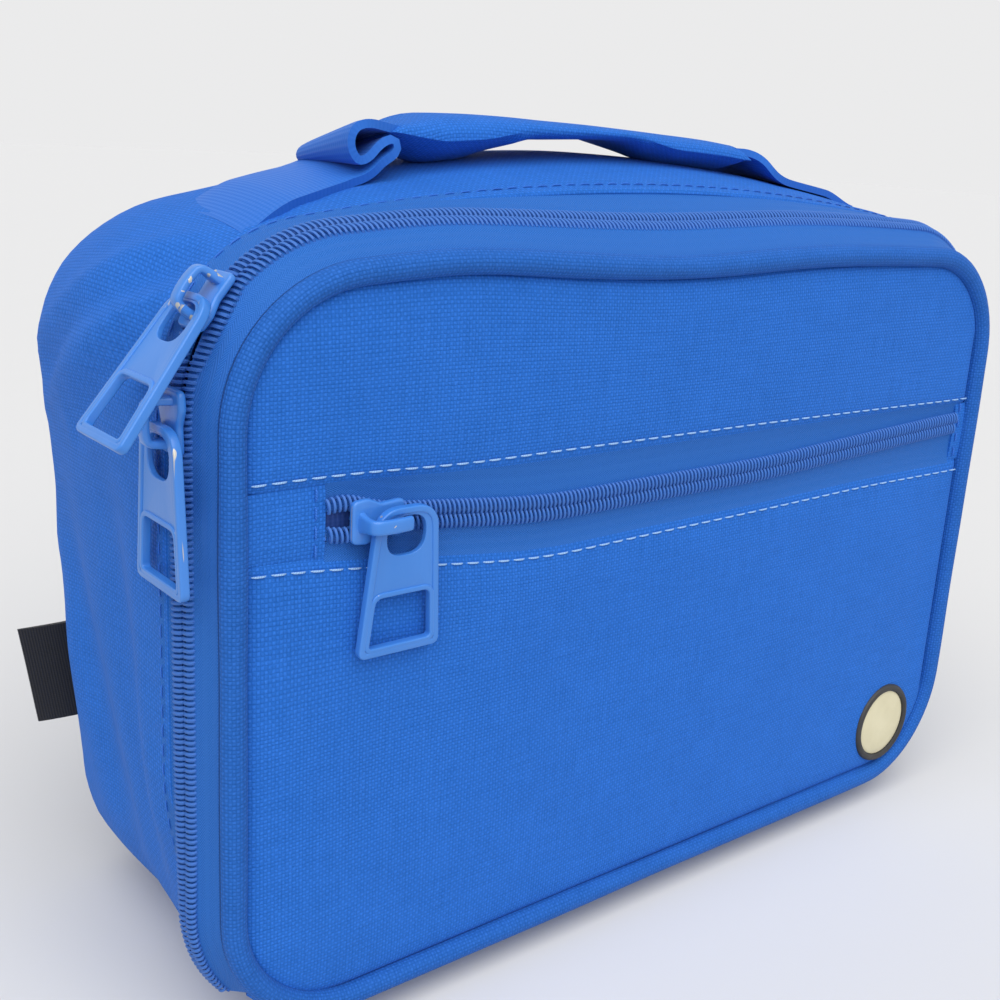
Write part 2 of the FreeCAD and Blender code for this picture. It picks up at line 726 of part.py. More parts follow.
def place(body, origin, x_way, z_way):
    body.Placement = Placement(origin, Rotation(x_way, z_way.cross(x_way), z_way, "ZXY"))


def draw_plate(sketch):
    end = S.slider_length / 2
    narrow = S.slider_narrow / 2
    wide = S.slider_wide / 2
    half = (
        (-end, narrow * 0.6),
        (-end * 0.8, narrow),
        (-end * 0.1, narrow),
        (end * 0.4, wide),
        (end * 0.7, wide),
        (end, wide * 0.6),
    )
    draw_polygon(sketch, [(x, -y) for x, y in half] + [(x, y) for x, y in reversed(half)])


def make_slider(label, origin, wide_way, out_way):
    piece = Piece(label)
    plan = piece.sketch("XY_Plane", PLATE_Z)
    draw_plate(plan)
    piece.pad(plan, S.slider_outer)
    piece.fillet(S.slider_outer * 0.4, edges_in_plane("Z", CAP_Z))
    post = piece.sketch("XY_Plane", -INNER_Z)
    end = S.slider_length / 2 - 1
    draw_box(post, end - S.slider_post_long, end, -S.slider_post / 2, S.slider_post / 2)
    piece.pad(post, INNER_Z + PLATE_Z)
    plan = piece.sketch("XY_Plane", -INNER_Z - S.slider_inner)
    draw_plate(plan)
    piece.pad(plan, S.slider_inner)
    place(piece.body, origin, wide_way, out_way)


def make_cap(label, origin, long_way, out_way, open_end):
    piece = Piece(label)
    height = S.cap_slot + S.cap_bar
    end = S.cap_length / 2
    sketch = piece.sketch("XZ_Plane")
    draw_box(sketch, -end, end, 0, height)
    piece.pad(sketch, S.cap_width, both=True)

    def shoulders(edge):
        return edges_along("y")(edge) and edges_in_plane("Z", height)(edge)

    piece.fillet(S.cap_round, shoulders)
    slot = piece.sketch("XZ_Plane", S.cap_width / 2 + 1)
    stop = end + 1 if open_end else end - S.cap_foot
    draw_box(slot, S.cap_foot - end, stop, -1, S.cap_slot)
    piece.pocket(slot, S.cap_width + 2)
    place(piece.body, origin, long_way, out_way)


def make_pull(label, origin, rotation):
    """A flat pull, drawn about the middle of the bar above its eye and hanging towards -Y."""
    piece = Piece(label)
    top = S.pull_bar / 2
    low = top - S.pull_length
    face = S.pull_thick / 2

    def half_width(y):
        return (S.pull_top + (S.pull_bottom - S.pull_top) * ((top - y) / S.pull_length)) / 2

    def taper(y0, y1, rim):
        low_half = half_width(y0) - rim
        high_half = half_width(y1) - rim
        return ((-low_half, y0), (low_half, y0), (high_half, y1), (-high_half, y1))

    plan = piece.sketch("XY_Plane")
    draw_polygon(plan, taper(low, top, 0))
    piece.pad(plan, S.pull_thick, both=True)
    piece.fillet(S.pull_corner, edges_along("z"))
    both_faces = [edges_in_plane("Z", level) for level in (face, -face)]
    piece.fillet(S.pull_round, lambda edge: any(test(edge) for test in both_faces))
    eye_low = top - S.pull_bar - S.pull_eye
    eye = piece.sketch("XY_Plane", face + 1)
    eye_half = S.pull_eye_width / 2
    shoulder = eye_low + S.pull_eye * 0.3
    points = (
        (-eye_half * 0.6, eye_low),
        (eye_half * 0.6, eye_low),
        (eye_half, shoulder),
        (eye_half, top - S.pull_bar),
        (-eye_half, top - S.pull_bar),
        (-eye_half, shoulder),
    )
    draw_polygon(eye, points)
    piece.pocket(eye, S.pull_thick + 2)
    window_high = eye_low - S.pull_middle
    window = piece.sketch("XY_Plane", face + 1)
    draw_polygon(window, taper(low + S.pull_rim, window_high, S.pull_rim))
    piece.pocket(window, S.pull_thick + 2)
    panel = piece.sketch("XY_Plane", face)
    inset = S.pull_rim * 0.5
    draw_polygon(panel, taper(window_high + inset, eye_low - inset, S.pull_rim))
    piece.pocket(panel, S.pull_recess)
    piece.body.Placement = Placement(origin, rotation)


def show(name, origin, axis):
    """Print where a joint stands, in metres, for the part's record."""
    spot = [round(value / 1000, 6) for value in origin]
    way = [round(value, 6) for value in axis]
    print(name, "pos", spot, "axis", way)


corner_x, corner_z = ZIP.corner_centre()
bend = ZIP.corner.value
turn = math.radians(S.upper_slider_turn.value)
zip_y = ZIP_Y.value
slot_half = S.cap_length.value / 2 - S.cap_foot.value
pull_height = S.pull_thick.value * 0.8
stations = (
    ("lower", Vector(-ZIP.half.value, zip_y, S.lower_slider_z.value), 0.0, 1),
    ("upper", Vector(-corner_x - bend * math.cos(turn), zip_y, corner_z + bend * math.sin(turn)), turn, -1),
)
for name, spot, angle, wide_end in stations:
    out_way = Vector(-math.cos(angle), 0, math.sin(angle))
    up_way = Vector(math.sin(angle), 0, math.cos(angle))
    cap_spot = spot + out_way * CAP_Z.value
    make_slider(f"{name}_slider", spot, up_way * wide_end, out_way)
    make_cap(f"{name}_slider_cap", cap_spot, up_way * -1, out_way, open_end=False)
    pivot = cap_spot - up_way * (slot_half - S.pull_bar.value * 0.875) + out_way * pull_height
    make_pull(f"{name}_pull", pivot, Rotation(up_way.cross(out_way), up_way, out_way, "ZYX"))
    show(f"{name}_pull", pivot, up_way.cross(out_way))
show("upper_slider", Vector(-corner_x, zip_y, corner_z), Vector(0, 1, 0))

pocket_spot = Vector(S.pocket_slider_in.value - S.pocket_left.value, LID_Y.value, S.pocket_height.value)
out_way = Vector(0, -1, 0)
right_way = Vector(1, 0, 0)
cap_spot = pocket_spot + out_way * CAP_Z.value
make_slider("pocket_slider", pocket_spot, right_way * -1, out_way)
make_cap("pocket_slider_cap", cap_spot, right_way, out_way, open_end=True)
pivot = cap_spot + out_way * (S.cap_slot.value + S.cap_bar.value / 2)
lean = Rotation(right_way, S.pull_tilt.value) * Rotation(right_way, Vector(0, 0, 1), out_way, "ZYX")
drop = S.pull_bar.value / 2 + S.cap_width.value / 2 - S.pull_nest.value
behind = S.cap_bar.value / 2 + S.pull_thick.value / 2 + S.pull_play.value
offset = lean.multVec(Vector(0, -drop, behind))
make_pull("pocket_pull", pivot + right_way * S.pull_shift.value - offset, lean)
show("pocket_pull", pivot, right_way * -1)
show("lid_hinge", Vector(0, LID_Y.value, path_outline.base.value), right_way)

doc.recompute()
for item in doc.Objects:
    if {"Invalid", "Error"} & set(item.State):
        raise RuntimeError(f"{item.Name} did not compute")
os.makedirs("parts", exist_ok=True)
for part in PARTS:
    if part.Shape.isNull() or not part.Shape.isValid():
        raise RuntimeError(f"{part.Label} has no valid shape")
    if len(part.Shape.Solids) != 1:
        raise RuntimeError(f"{part.Label} is not one solid")
    part.Shape.exportStep(f"parts/{part.Label}.step")
print(len(PARTS), "parts")
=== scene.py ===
import math
from functools import cache

import bmesh
import bpy
import numpy as np
from bpy.props import FloatProperty, FloatVectorProperty, PointerProperty
from mathutils import Matrix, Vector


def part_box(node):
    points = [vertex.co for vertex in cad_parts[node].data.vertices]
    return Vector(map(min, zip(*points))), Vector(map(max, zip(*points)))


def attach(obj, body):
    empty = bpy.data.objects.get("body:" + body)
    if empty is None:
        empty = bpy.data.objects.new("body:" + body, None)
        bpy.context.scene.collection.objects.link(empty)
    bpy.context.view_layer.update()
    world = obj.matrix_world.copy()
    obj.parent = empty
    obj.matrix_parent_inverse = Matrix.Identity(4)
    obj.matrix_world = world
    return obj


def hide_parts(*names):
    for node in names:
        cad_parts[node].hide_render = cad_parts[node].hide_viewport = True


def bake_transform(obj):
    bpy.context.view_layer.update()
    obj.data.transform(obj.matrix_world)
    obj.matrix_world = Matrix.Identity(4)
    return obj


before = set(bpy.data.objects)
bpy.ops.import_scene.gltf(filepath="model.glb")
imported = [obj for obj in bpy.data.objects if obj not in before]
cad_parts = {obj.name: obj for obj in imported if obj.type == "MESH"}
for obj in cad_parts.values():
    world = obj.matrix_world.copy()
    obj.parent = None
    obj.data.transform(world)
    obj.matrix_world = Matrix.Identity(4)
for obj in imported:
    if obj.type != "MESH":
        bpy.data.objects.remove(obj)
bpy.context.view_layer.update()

bl_info = {
    "name": "Soft Lunch Box",
    "version": (1, 0, 0),
    "blender": (4, 5, 0),
    "location": "View3D > Sidebar > Lunch Box",
    "description": "Dresses a zip-up insulated lunch box in cloth, zips, metal pulls and stitching",
    "category": "Object",
}

# Lengths in this file are millimetres unless a name says otherwise; meshes are written in metres.
MM = 0.001
TURN = 2 * math.pi


# Properties

def colour(label, note, default):
    return FloatVectorProperty(
        name=label, description=note, subtype="COLOR", size=3, min=0.0, max=1.0, default=default
    )


def length(label, note, default):
    return FloatProperty(name=label, description=note, unit="LENGTH", precision=5, default=default)


class LunchBoxCloth(bpy.types.PropertyGroup):
    """Cloth of the case, lid and handle."""

    blue: colour("Blue", "Outer fabric", (0.013, 0.147, 0.605))
    tape: colour("Tape", "Zip tape", (0.014, 0.155, 0.60))
    thread: colour("Thread", "Topstitching of the lid", (0.24, 0.50, 0.90))
    seam: colour("Seam thread", "Stitches of the case", (0.020, 0.175, 0.72))
    lining: colour("Lining", "Wipe-clean lining", (0.44, 0.46, 0.49))
    binding: colour("Binding", "Binding tape inside the mouth", (0.016, 0.075, 0.36))
    label: colour("Label", "Side label", (0.012, 0.012, 0.015))
    rim: colour("Patch rim", "Rim of the round patch", (0.010, 0.010, 0.012))
    cream: colour("Patch face", "Face of the round patch", (0.72, 0.66, 0.43))
    yarn: length("Yarn pitch", "Distance between neighbouring yarns", 0.00084)
    stitch: length("Stitch pitch", "Distance between neighbouring stitches", 0.0045)
    slack: length("Slack", "Height of the soft folds in the case", 0.0011)


class LunchBoxZip(bpy.types.PropertyGroup):
    """Zips, sliders and pulls."""

    coil: colour("Coil", "Zip coil", (0.024, 0.150, 0.55))
    paint: colour("Paint", "Sliders and pulls", (0.030, 0.205, 0.66))
    bare: colour("Bare metal", "Metal under chipped paint", (0.60, 0.58, 0.52))
    pitch: length("Coil pitch", "Distance between neighbouring turns of the coil", 0.00128)
    wire: length("Coil wire", "Radius of the coil's wire", 0.00040)


class LunchBoxStage(bpy.types.PropertyGroup):
    """Floor, light and camera."""

    floor: colour("Floor", "Floor colour", (0.684, 0.684, 0.688))
    backdrop: colour("Backdrop", "What the camera sees behind the floor", (0.83, 0.83, 0.835))
    ambient: FloatProperty(name="Ambient", description="Strength of the even light", default=0.40)
    key: FloatProperty(name="Key", description="Strength of the soft light from above", default=3.14)
    lens: FloatProperty(name="Lens", description="Focal length in mm on a 36 mm sensor", default=46.66)


class LunchBoxSettings(bpy.types.PropertyGroup):
    """All settings of the lunch box."""

    cloth: PointerProperty(type=LunchBoxCloth, name="Cloth", description="Cloth and trim")
    zip: PointerProperty(type=LunchBoxZip, name="Zips", description="Zips, sliders and pulls")
    stage: PointerProperty(type=LunchBoxStage, name="Stage", description="Floor, light and camera")


def props():
    return bpy.context.scene.lunch_box


# Numbers, points and paths

def smoothstep(low, high, value):
    share = np.clip((value - low) / (high - low), 0.0, 1.0)
    return share * share * (3 - 2 * share)


def bell(value, middle, width):
    return np.exp(-(((value - middle) / width) ** 2))


def squarish(wave, power):
    """Fill a sine or cosine out towards a square wave."""
    return np.sign(wave) * np.abs(wave) ** power


def blurred(values, span):
    """Running mean over an odd number of values, with the ends held."""
    return np.convolve(np.pad(values, span // 2, "edge"), np.ones(span) / span, "valid")


def around(count):
    """Evenly spaced angles once round."""
    return np.linspace(0, TURN, count, endpoint=False)


def unit(vectors):
    """Vectors brought to length 1."""
    return vectors / np.maximum(np.linalg.norm(vectors, axis=-1, keepdims=True), 1e-9)


def square_to(vectors, ways):
    """Vectors without their part along given unit ways."""
    return vectors - ways * (vectors * ways).sum(-1, keepdims=True)


def axes(points):
    """The x, y and z of points."""
    return np.moveaxis(points, -1, 0)


def xyz(x, y, z):
    """Points from their x, y and z, spread over each other where they differ in shape."""
    return np.stack(np.broadcast_arrays(x, y, z), -1)


def shifted(points, x=0.0, y=0.0, z=0.0):
    return points + xyz(x, y, z)


def at_depth(plan, y):
    """A line in the XZ plane set at a depth."""
    return xyz(plan[:, 0], y, plan[:, 1])


def between(first, last, shares):
    """Rows of points on the way from one line to another."""
    return first + (np.asarray(last) - first) * np.reshape(shares, (-1, 1, 1))


def walked_along(path):
    """Distance of each point of a path from its start."""
    return np.pad(np.cumsum(np.linalg.norm(np.diff(path, axis=0), axis=1)), (1, 0))


def read_off(stops, known, rows):
    """Rows that are known at some distances, read off at others."""
    return np.column_stack([np.interp(stops, known, column) for column in np.transpose(rows)])


def path_ways(path):
    return unit(np.gradient(path, axis=0))


def even_path(path, step):
    """The same path with evenly spaced points, and the distance of each from the start."""
    walked = walked_along(path)
    count = max(int(round(walked[-1] / step)), 2)
    stops = np.linspace(0.0, walked[-1], count + 1)
    return read_off(stops, walked, path), stops


def soft_path(points, rounds=4):
    """Round the corners of a line by cutting them again and again."""
    points = np.array(points, float)
    for _ in range(rounds):
        near = points[:-1] * 0.75 + points[1:] * 0.25
        far = points[:-1] * 0.25 + points[1:] * 0.75
        cut = np.stack((near, far), 1).reshape(-1, points.shape[1])
        points = np.concatenate((points[:1], cut, points[-1:]))
    return points


# Outlines across the depth

BASE_STEPS, CORNER_STEPS, SIDE_STEPS, TOP_STEPS = 16, 16, 30, 48


class Outline:
    """A rounded outline in the XZ plane: straight sides and base, arched top, four equal corners."""

    def __init__(self, half, base, top, corner, crown):
        self.sizes = np.array((half, base, top, corner, crown), float)

    def inset(self, by):
        return Outline(*(self.sizes + by * np.array((-1, 1, -1, -1, -1))))

    def blend(self, other, share):
        return Outline(*(self.sizes + (other.sizes - self.sizes) * share))

    def corner_middle(self):
        """Middle of an upper corner's arc, as a distance to the side and a height."""
        half, _, top, corner, crown = self.sizes
        cx = half - corner
        return cx, top - crown + math.sqrt((crown - corner) ** 2 - cx ** 2)

    def ring(self):
        """Points from the middle of the base, up the left side, over the top and back down."""
        half, base, top, corner, crown = self.sizes
        cx, cz = self.corner_middle()
        low, foot = top - crown, base + corner
        lean = math.atan2(cz - low, cx)
        turn = math.pi / 2
        rising = np.concatenate((
            np.linspace((0, base), (-cx, base), BASE_STEPS, endpoint=False),
            arc_steps(-cx, foot, corner, -turn, -2 * turn, CORNER_STEPS),
            np.linspace((-half, foot), (-half, cz), SIDE_STEPS, endpoint=False),
            arc_steps(-cx, cz, corner, 2 * turn, 2 * turn - lean, CORNER_STEPS),
            arc_steps(0, low, crown, 2 * turn - lean, turn, TOP_STEPS),
        ))
        return np.concatenate((rising, ((0.0, top),), rising[::-1] * (-1, 1)))


def arc_steps(x, z, radius, start, end, count):
    angle = np.linspace(start, end, count, endpoint=False)
    return np.column_stack((x + radius * np.cos(angle), z + radius * np.sin(angle)))


FRONT = Outline(130.0, 6.0, 180.0, 33.0, 2500.0)
MOUTH = Outline(134.5, 0.0, 191.0, 38.0, 700.0)
BELLY = Outline(137.0, 0.0, 198.6, 40.0, 460.0)
BACK = Outline(134.5, 0.0, 193.0, 38.0, 480.0)
ZIP = FRONT.blend(MOUTH, 0.5)
PANEL = FRONT.inset(5.2)
BELLY_RING = BELLY.ring()

LID_Y, ZIP_Y, MOUTH_Y, BACK_Y = -50.0, -40.0, -33.0, 50.0
ROUND_START, BACK_ROUND = 36.0, 15.0
BACK_MIDDLE_Z = 96.0
ZIP_FOOT = 14.0

# Where the case cloth ends in front: further forward at the sides than on top.
HEM_SIDE_Y, HEM_TOP_Y = -35.4, -31.5
HEM = HEM_SIDE_Y + (HEM_TOP_Y - HEM_SIDE_Y) * smoothstep(150.0, 186.0, BELLY_RING[:, 1])


def ring_normals(ring):
    """Outward directions in the plane of a ring that runs clockwise."""
    along = np.gradient(ring, axis=0)
    along[0] = along[-1] = (-1, 0)
    along = unit(along)
    return np.column_stack((-along[:, 1], along[:, 0]))


def case_points(y, depth=0.0):
    """Points of the case at depths y, one row per array row and one column per ring point."""
    stations = (MOUTH_Y, 0.0, ROUND_START)
    rings = [outline.inset(depth).ring() for outline in (MOUTH, BELLY, BACK)]
    plan = np.zeros(y.shape + (2,))
    for i, ring in enumerate(rings):
        weight = np.ones(y.shape)
        for j, other in enumerate(stations):
            if j != i:
                weight = weight * (y - other) / (stations[i] - other)
        plan += weight[..., None] * ring
    radius = BACK_ROUND - depth
    past = np.clip(y - (BACK_Y - BACK_ROUND), 0.0, radius)
    inward = radius - np.sqrt(np.maximum(radius ** 2 - past ** 2, 0.0))
    plan -= inward[..., None] * ring_normals(rings[1])
    return xyz(plan[..., 0], y, plan[..., 1])


def case_rows(levels, depth=0.0):
    """Whole rings of the case, one at each depth y."""
    return case_points(np.repeat(np.array(levels, float)[:, None], len(BELLY_RING), axis=1), depth)


# How the cloth lies

LID_WAVE_UP, LID_WAVE_DOWN = 1.4, 2.6


def lid_sway(points):
    """Ease the lid's upper edge up and down, as its cloth lies in the photo."""
    x, _, z = axes(points)
    wave = LID_WAVE_UP * bell(x, -76.0, 24.0) - LID_WAVE_DOWN * bell(x, -6.0, 40.0)
    return shifted(points, z=wave * smoothstep(135.0, 180.0, z))


def zip_sway(points, share=0.7):
    """The zip follows the lid's uneven upper edge, more so near the lid."""
    return points + (lid_sway(points) - points) * share


# How far the pocket zip strays from a level line: its lower seam, coil and upper seam.
POCKET_STOPS = (-125.0, -103.0, -70.0, -48.0, -12.0, 30.0, 78.0, 117.0)
POCKET_STRAY = (
    (6.6, 4.7, 0.2, -2.3, -1.9, -1.6, -0.9, -1.4),
    (4.4, 4.2, 0.6, -1.7, -1.4, -1.4, 0.9, 2.6),
    (2.2, 2.2, 0.6, 0.6, 0.3, 0.0, -0.7, -1.4),
)
STRAY_LEVELS = (84.0, 110.1, 121.5, 132.9, 160.0)
STRAY_SPAN, STRAY_BLUR = 136, 25


def pocket_sway(points):
    """Let the pocket zip and the seams beside it wander up and down."""
    x, _, z = axes(points)
    places = np.arange(-STRAY_SPAN, STRAY_SPAN + 1.0)
    for number, stray in enumerate(POCKET_STRAY):
        line = blurred(np.interp(places, POCKET_STOPS, stray), STRAY_BLUR)
        near = np.interp(z, STRAY_LEVELS[number:number + 3], (0.0, 1.0, 0.0), 0.0, 0.0)
        points = shifted(points, z=np.interp(x, places, line) * near)
    return points


# How far the soft sides of the case sag inwards at given heights.
SAG_LEVELS = (0.0, 12.0, 40.0, 56.0, 76.0, 98.0, 122.0, 150.0, 168.0)
SAG_INWARD = (10.0, 10.5, 9.5, 8.0, 6.4, 4.6, 3.2, 1.2, 0.0)
SAG_AT_HEM = 0.55


def sag_in(points):
    """Draw the sides of the case in, most of all low down, and less at the hem than further back."""
    x, y, z = axes(points)
    hem = SAG_AT_HEM * (1 - smoothstep(30.0, 70.0, z))
    share = hem + (1 - hem) * smoothstep(MOUTH_Y, 2.0, y)
    sag = np.interp(z, SAG_LEVELS, SAG_INWARD) * share * smoothstep(80.0, 118.0, np.abs(x))
    return shifted(points, x=-np.sign(x) * sag)


def slack(points, seed, wavelength, count=7):
    """A smooth uneven height, about -1 to 1, that repeats nowhere near."""
    dice = np.random.default_rng(seed)
    total = np.zeros(points.shape[:-1])
    for _ in range(count):
        way = dice.normal(size=3)
        way *= TURN / (wavelength * dice.uniform(0.7, 1.6) * np.linalg.norm(way))
        total += np.sin(points @ way + dice.uniform(0, TURN))
    return total / math.sqrt(count)


def crease(points, start, end, width, depth):
    """A soft valley along a line, with a low ridge beside it."""
    start, along = np.array(start, float), np.subtract(end, start)
    share = np.clip(((points - start) @ along) / (along @ along), 0.0, 1.0)
    off = np.linalg.norm(points - (start + share[..., None] * along), axis=-1)
    fade = np.sin(math.pi * np.clip(share, 0.04, 0.96)) ** 0.6
    return depth * fade * (0.5 * bell(off, 2.2 * width, width) - bell(off, 0.0, width))


# Meshes

SMOOTH_UNDER = math.radians(35.0)
WELD_M = 2e-7


def grid_normals(points):
    return unit(np.cross(np.gradient(points, axis=1), np.gradient(points, axis=0)))


def steps_along(points, axis):
    """Distance walked along one direction of a grid, from its first row or column."""
    walked = np.linalg.norm(np.diff(points, axis=axis), axis=-1)
    pad = [(1, 0) if i == axis else (0, 0) for i in range(2)]
    return np.pad(np.cumsum(walked, axis=axis), pad)


def grid_cloth(points):
    """Flat cloth coordinates of a grid: along, across and no wear."""
    return xyz(steps_along(points, 1).mean(axis=0), steps_along(points, 0), 0.0)


def flat_cloth(points):
    """Cloth coordinates of a grid that faces the front or the back."""
    return points[..., [0, 2, 1]] * (1, 1, 0)


def spokes(first, second, sides):
    """Unit spokes round each point of a path, from two ways square to it."""
    angle = around(sides)[:, None]
    return first[:, None] * np.cos(angle) + second[:, None] * np.sin(angle)


class Shape:
    """Points, faces and cloth coordinates gathered for one piece, in millimetres."""

    def __init__(self):
        self.points, self.cloth, self.faces = [], [], []
        self.count = 0

    def add(self, points, faces, cloth):
        points = np.asarray(points, float).reshape(-1, 3)
        self.points.append(points)
        self.cloth.append(np.asarray(cloth, float).reshape(-1, 3))
        self.faces.extend(tuple(int(i) + self.count for i in face) for face in faces)
        self.count += len(points)

    def grid(self, points, cloth=None, close=False, ends=()):
        """A grid of points; close joins its sides, and ends names the outer rows that are capped."""
        rows, columns = points.shape[:2]
        number = np.arange(rows * columns).reshape(rows, columns)
        caps = [tuple(number[row] if row else number[row][::-1]) for row in ends]
        if close:
            number = np.concatenate((number, number[:, :1]), axis=1)
        quads = np.stack((number[:-1, :-1], number[:-1, 1:], number[1:, 1:], number[1:, :-1]), -1)
        faces = [*quads.reshape(-1, 4), *caps]
        self.add(points, faces, grid_cloth(points) if cloth is None else cloth)
        return self

    def sheet(self, points, thickness, cloth=None):
        """A grid with a given thickness behind it, closed round its edges."""
        cloth = grid_cloth(points) if cloth is None else cloth
        behind = points - grid_normals(points) * thickness
        rows, columns = points.shape[:2]
        start = self.count
        coat = np.concatenate((cloth, cloth[::-1], cloth[:1]))
        self.grid(np.concatenate((points, behind[::-1], points[:1])), coat)
        for side in (0, columns - 1):
            for row in range(rows - 1):
                corners = (row, row + 1, 2 * rows - 2 - row, 2 * rows - 1 - row)
                self.faces.append(tuple(start + corner * columns + side for corner in corners))
        return self

    def tube(self, path, radius, sides, closed=False, aim=(0, 1, 0)):
        """A round tube; aim is a direction that the path never takes."""
        along = path_ways(path)
        if closed:
            along = unit(np.roll(path, -1, axis=0) - np.roll(path, 1, axis=0))
        first = unit(np.cross(along, np.broadcast_to(np.array(aim, float), path.shape)))
        points = path[:, None] + spokes(first, np.cross(along, first), sides) * radius[:, None, None]
        walked = walked_along(path)
        coat = xyz(around(sides) * radius.mean(), walked[:, None], 0.0)
        if closed:
            length_round = np.linalg.norm(path[0] - path[-1]) + walked[-1]
            points = np.concatenate((points, points[:1]))
            coat = np.concatenate((coat, coat[:1] + (0, length_round, 0)))
        return self.grid(points, coat, close=True, ends=() if closed else (0, -1))

    def object(self, name, material, body, slot, nodes=(), weld=True):
        """Write the mesh in metres, dress it and hand it to the frame."""
        mesh = bpy.data.meshes.new(name)
        mesh.from_pydata((np.concatenate(self.points) * MM).tolist(), [], self.faces)
        coat = mesh.attributes.new("cloth", "FLOAT_VECTOR", "POINT")
        coat.data.foreach_set("vector", (np.concatenate(self.cloth) * MM).astype(np.float32).ravel())
        work = bmesh.new()
        work.from_mesh(mesh)
        if weld:
            bmesh.ops.remove_doubles(work, verts=work.verts, dist=WELD_M)
        bmesh.ops.recalc_face_normals(work, faces=work.faces)
        work.to_mesh(mesh)
        work.free()
        mesh.polygons.foreach_set("use_smooth", [True] * len(mesh.polygons))
        mesh.set_sharp_from_angle(angle=SMOOTH_UNDER)
        piece = linked(name, mesh)
        mesh.materials.append(material)
        if body:
            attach(piece, body)
        if nodes:
            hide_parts(*nodes)
        return piece


def linked(name, data):
    """A new object in the scene."""
    thing = bpy.data.objects.new(name, data)
    bpy.context.scene.collection.objects.link(thing)
    return thing


# Shaders

class Value:
    """A shader socket that can be used in sums; each operation adds its node."""

    def __init__(self, nodes, socket):
        self.nodes = nodes
        self.socket = socket

    def math(self, operation, first, second=0.0):
        return self.nodes.node("ShaderNodeMath", {"operation": operation}, {0: first, 1: second})

    def __add__(self, other):
        return self.math("ADD", self, other)

    __radd__ = __add__

    def __sub__(self, other):
        return self.math("SUBTRACT", self, other)

    def __rsub__(self, other):
        return self.math("SUBTRACT", other, self)

    def __mul__(self, other):
        return self.math("MULTIPLY", self, other)

    __rmul__ = __mul__

    def __truediv__(self, other):
        return self.math("DIVIDE", self, other)

    def __pow__(self, other):
        return self.math("POWER", self, other)

    def __abs__(self):
        return self.math("ABSOLUTE", self)

    def larger(self, other):
        return self.math("MAXIMUM", self, other)

    def cosine(self):
        return self.math("COSINE", self)

    def fraction(self):
        return self.math("FRACT", self)

    def ribs(self, pitch):
        """Even ribs from 0 to 1, one for each pitch."""
        return (self * (TURN / pitch)).cosine() * 0.5 + 0.5

    def over(self, low, high):
        """0 below low, 1 above high, smooth between."""
        sockets = {"Value": self, "From Min": low, "From Max": high}
        return self.nodes.node("ShaderNodeMapRange", {"interpolation_type": "SMOOTHSTEP"}, sockets)


class Nodes:
    """A node tree under construction."""

    def __init__(self, tree):
        self.tree = tree

    def feed(self, socket, value):
        if isinstance(value, Value):
            self.tree.links.new(value.socket, socket)
        else:
            socket.default_value = value

    def node(self, kind, settings=None, sockets=None, output=0):
        """Add a node with its settings and sockets; gives one output, if it has any."""
        node = self.tree.nodes.new(kind)
        for name, value in (settings or {}).items():
            setattr(node, name, value)
        for key, value in (sockets or {}).items():
            self.feed(node.inputs[key], value)
        return Value(self, node.outputs[output]) if node.outputs else None


class Look(Nodes):
    """One material under construction."""

    def __init__(self, name, **constants):
        self.material = bpy.data.materials.new(name)
        self.material.use_nodes = True
        super().__init__(self.material.node_tree)
        self.shader = self.tree.nodes["Principled BSDF"]
        self.set(**constants)

    def set(self, **sockets):
        for name, value in sockets.items():
            self.feed(self.shader.inputs[name.replace("_", " ")], value)

    def cloth(self):
        """Cloth coordinates in metres: along, across, wear, and all three as a vector."""
        place = self.node("ShaderNodeAttribute", {"attribute_name": "cloth"}, output="Vector")
        parts = [self.node("ShaderNodeSeparateXYZ", None, {0: place}, axis) for axis in "XYZ"]
        return (*parts, place)

    def noise(self, place, scale, detail, roughness=0.5):
        sockets = {"Vector": place, "Scale": scale, "Detail": detail, "Roughness": roughness}
        return self.node("ShaderNodeTexNoise", None, sockets, "Fac")

    def slub(self, place, stretch):
        """Long uneven streaks along one set of yarns."""
        drawn = {0: place, 1: stretch}
        place = self.node("ShaderNodeVectorMath", {"operation": "MULTIPLY"}, drawn)
        return self.noise(place, 1500.0, 1.0)

    def mix(self, share, first, second):
        return self.node("ShaderNodeMix", {"data_type": "RGBA"}, {0: share, 6: first, 7: second}, 2)

    def bump(self, height, distance):
        self.set(Normal=self.node("ShaderNodeBump", None, {"Height": height, "Distance": distance}))

    def finish(self, light, dark, bright, roughness, height, relief):
        """Mix the tone, set the roughness and the relief, and give the material."""
        self.set(Base_Color=self.mix(light, dark, bright), Roughness=roughness)
        self.bump(height, relief)
        return self.material


def shade(tone, factor):
    return tuple(min(1.0, c * factor) for c in tone) + (1.0,)


def pale(tone, share):
    return tuple(c + (1.0 - c) * share for c in tone) + (1.0,)


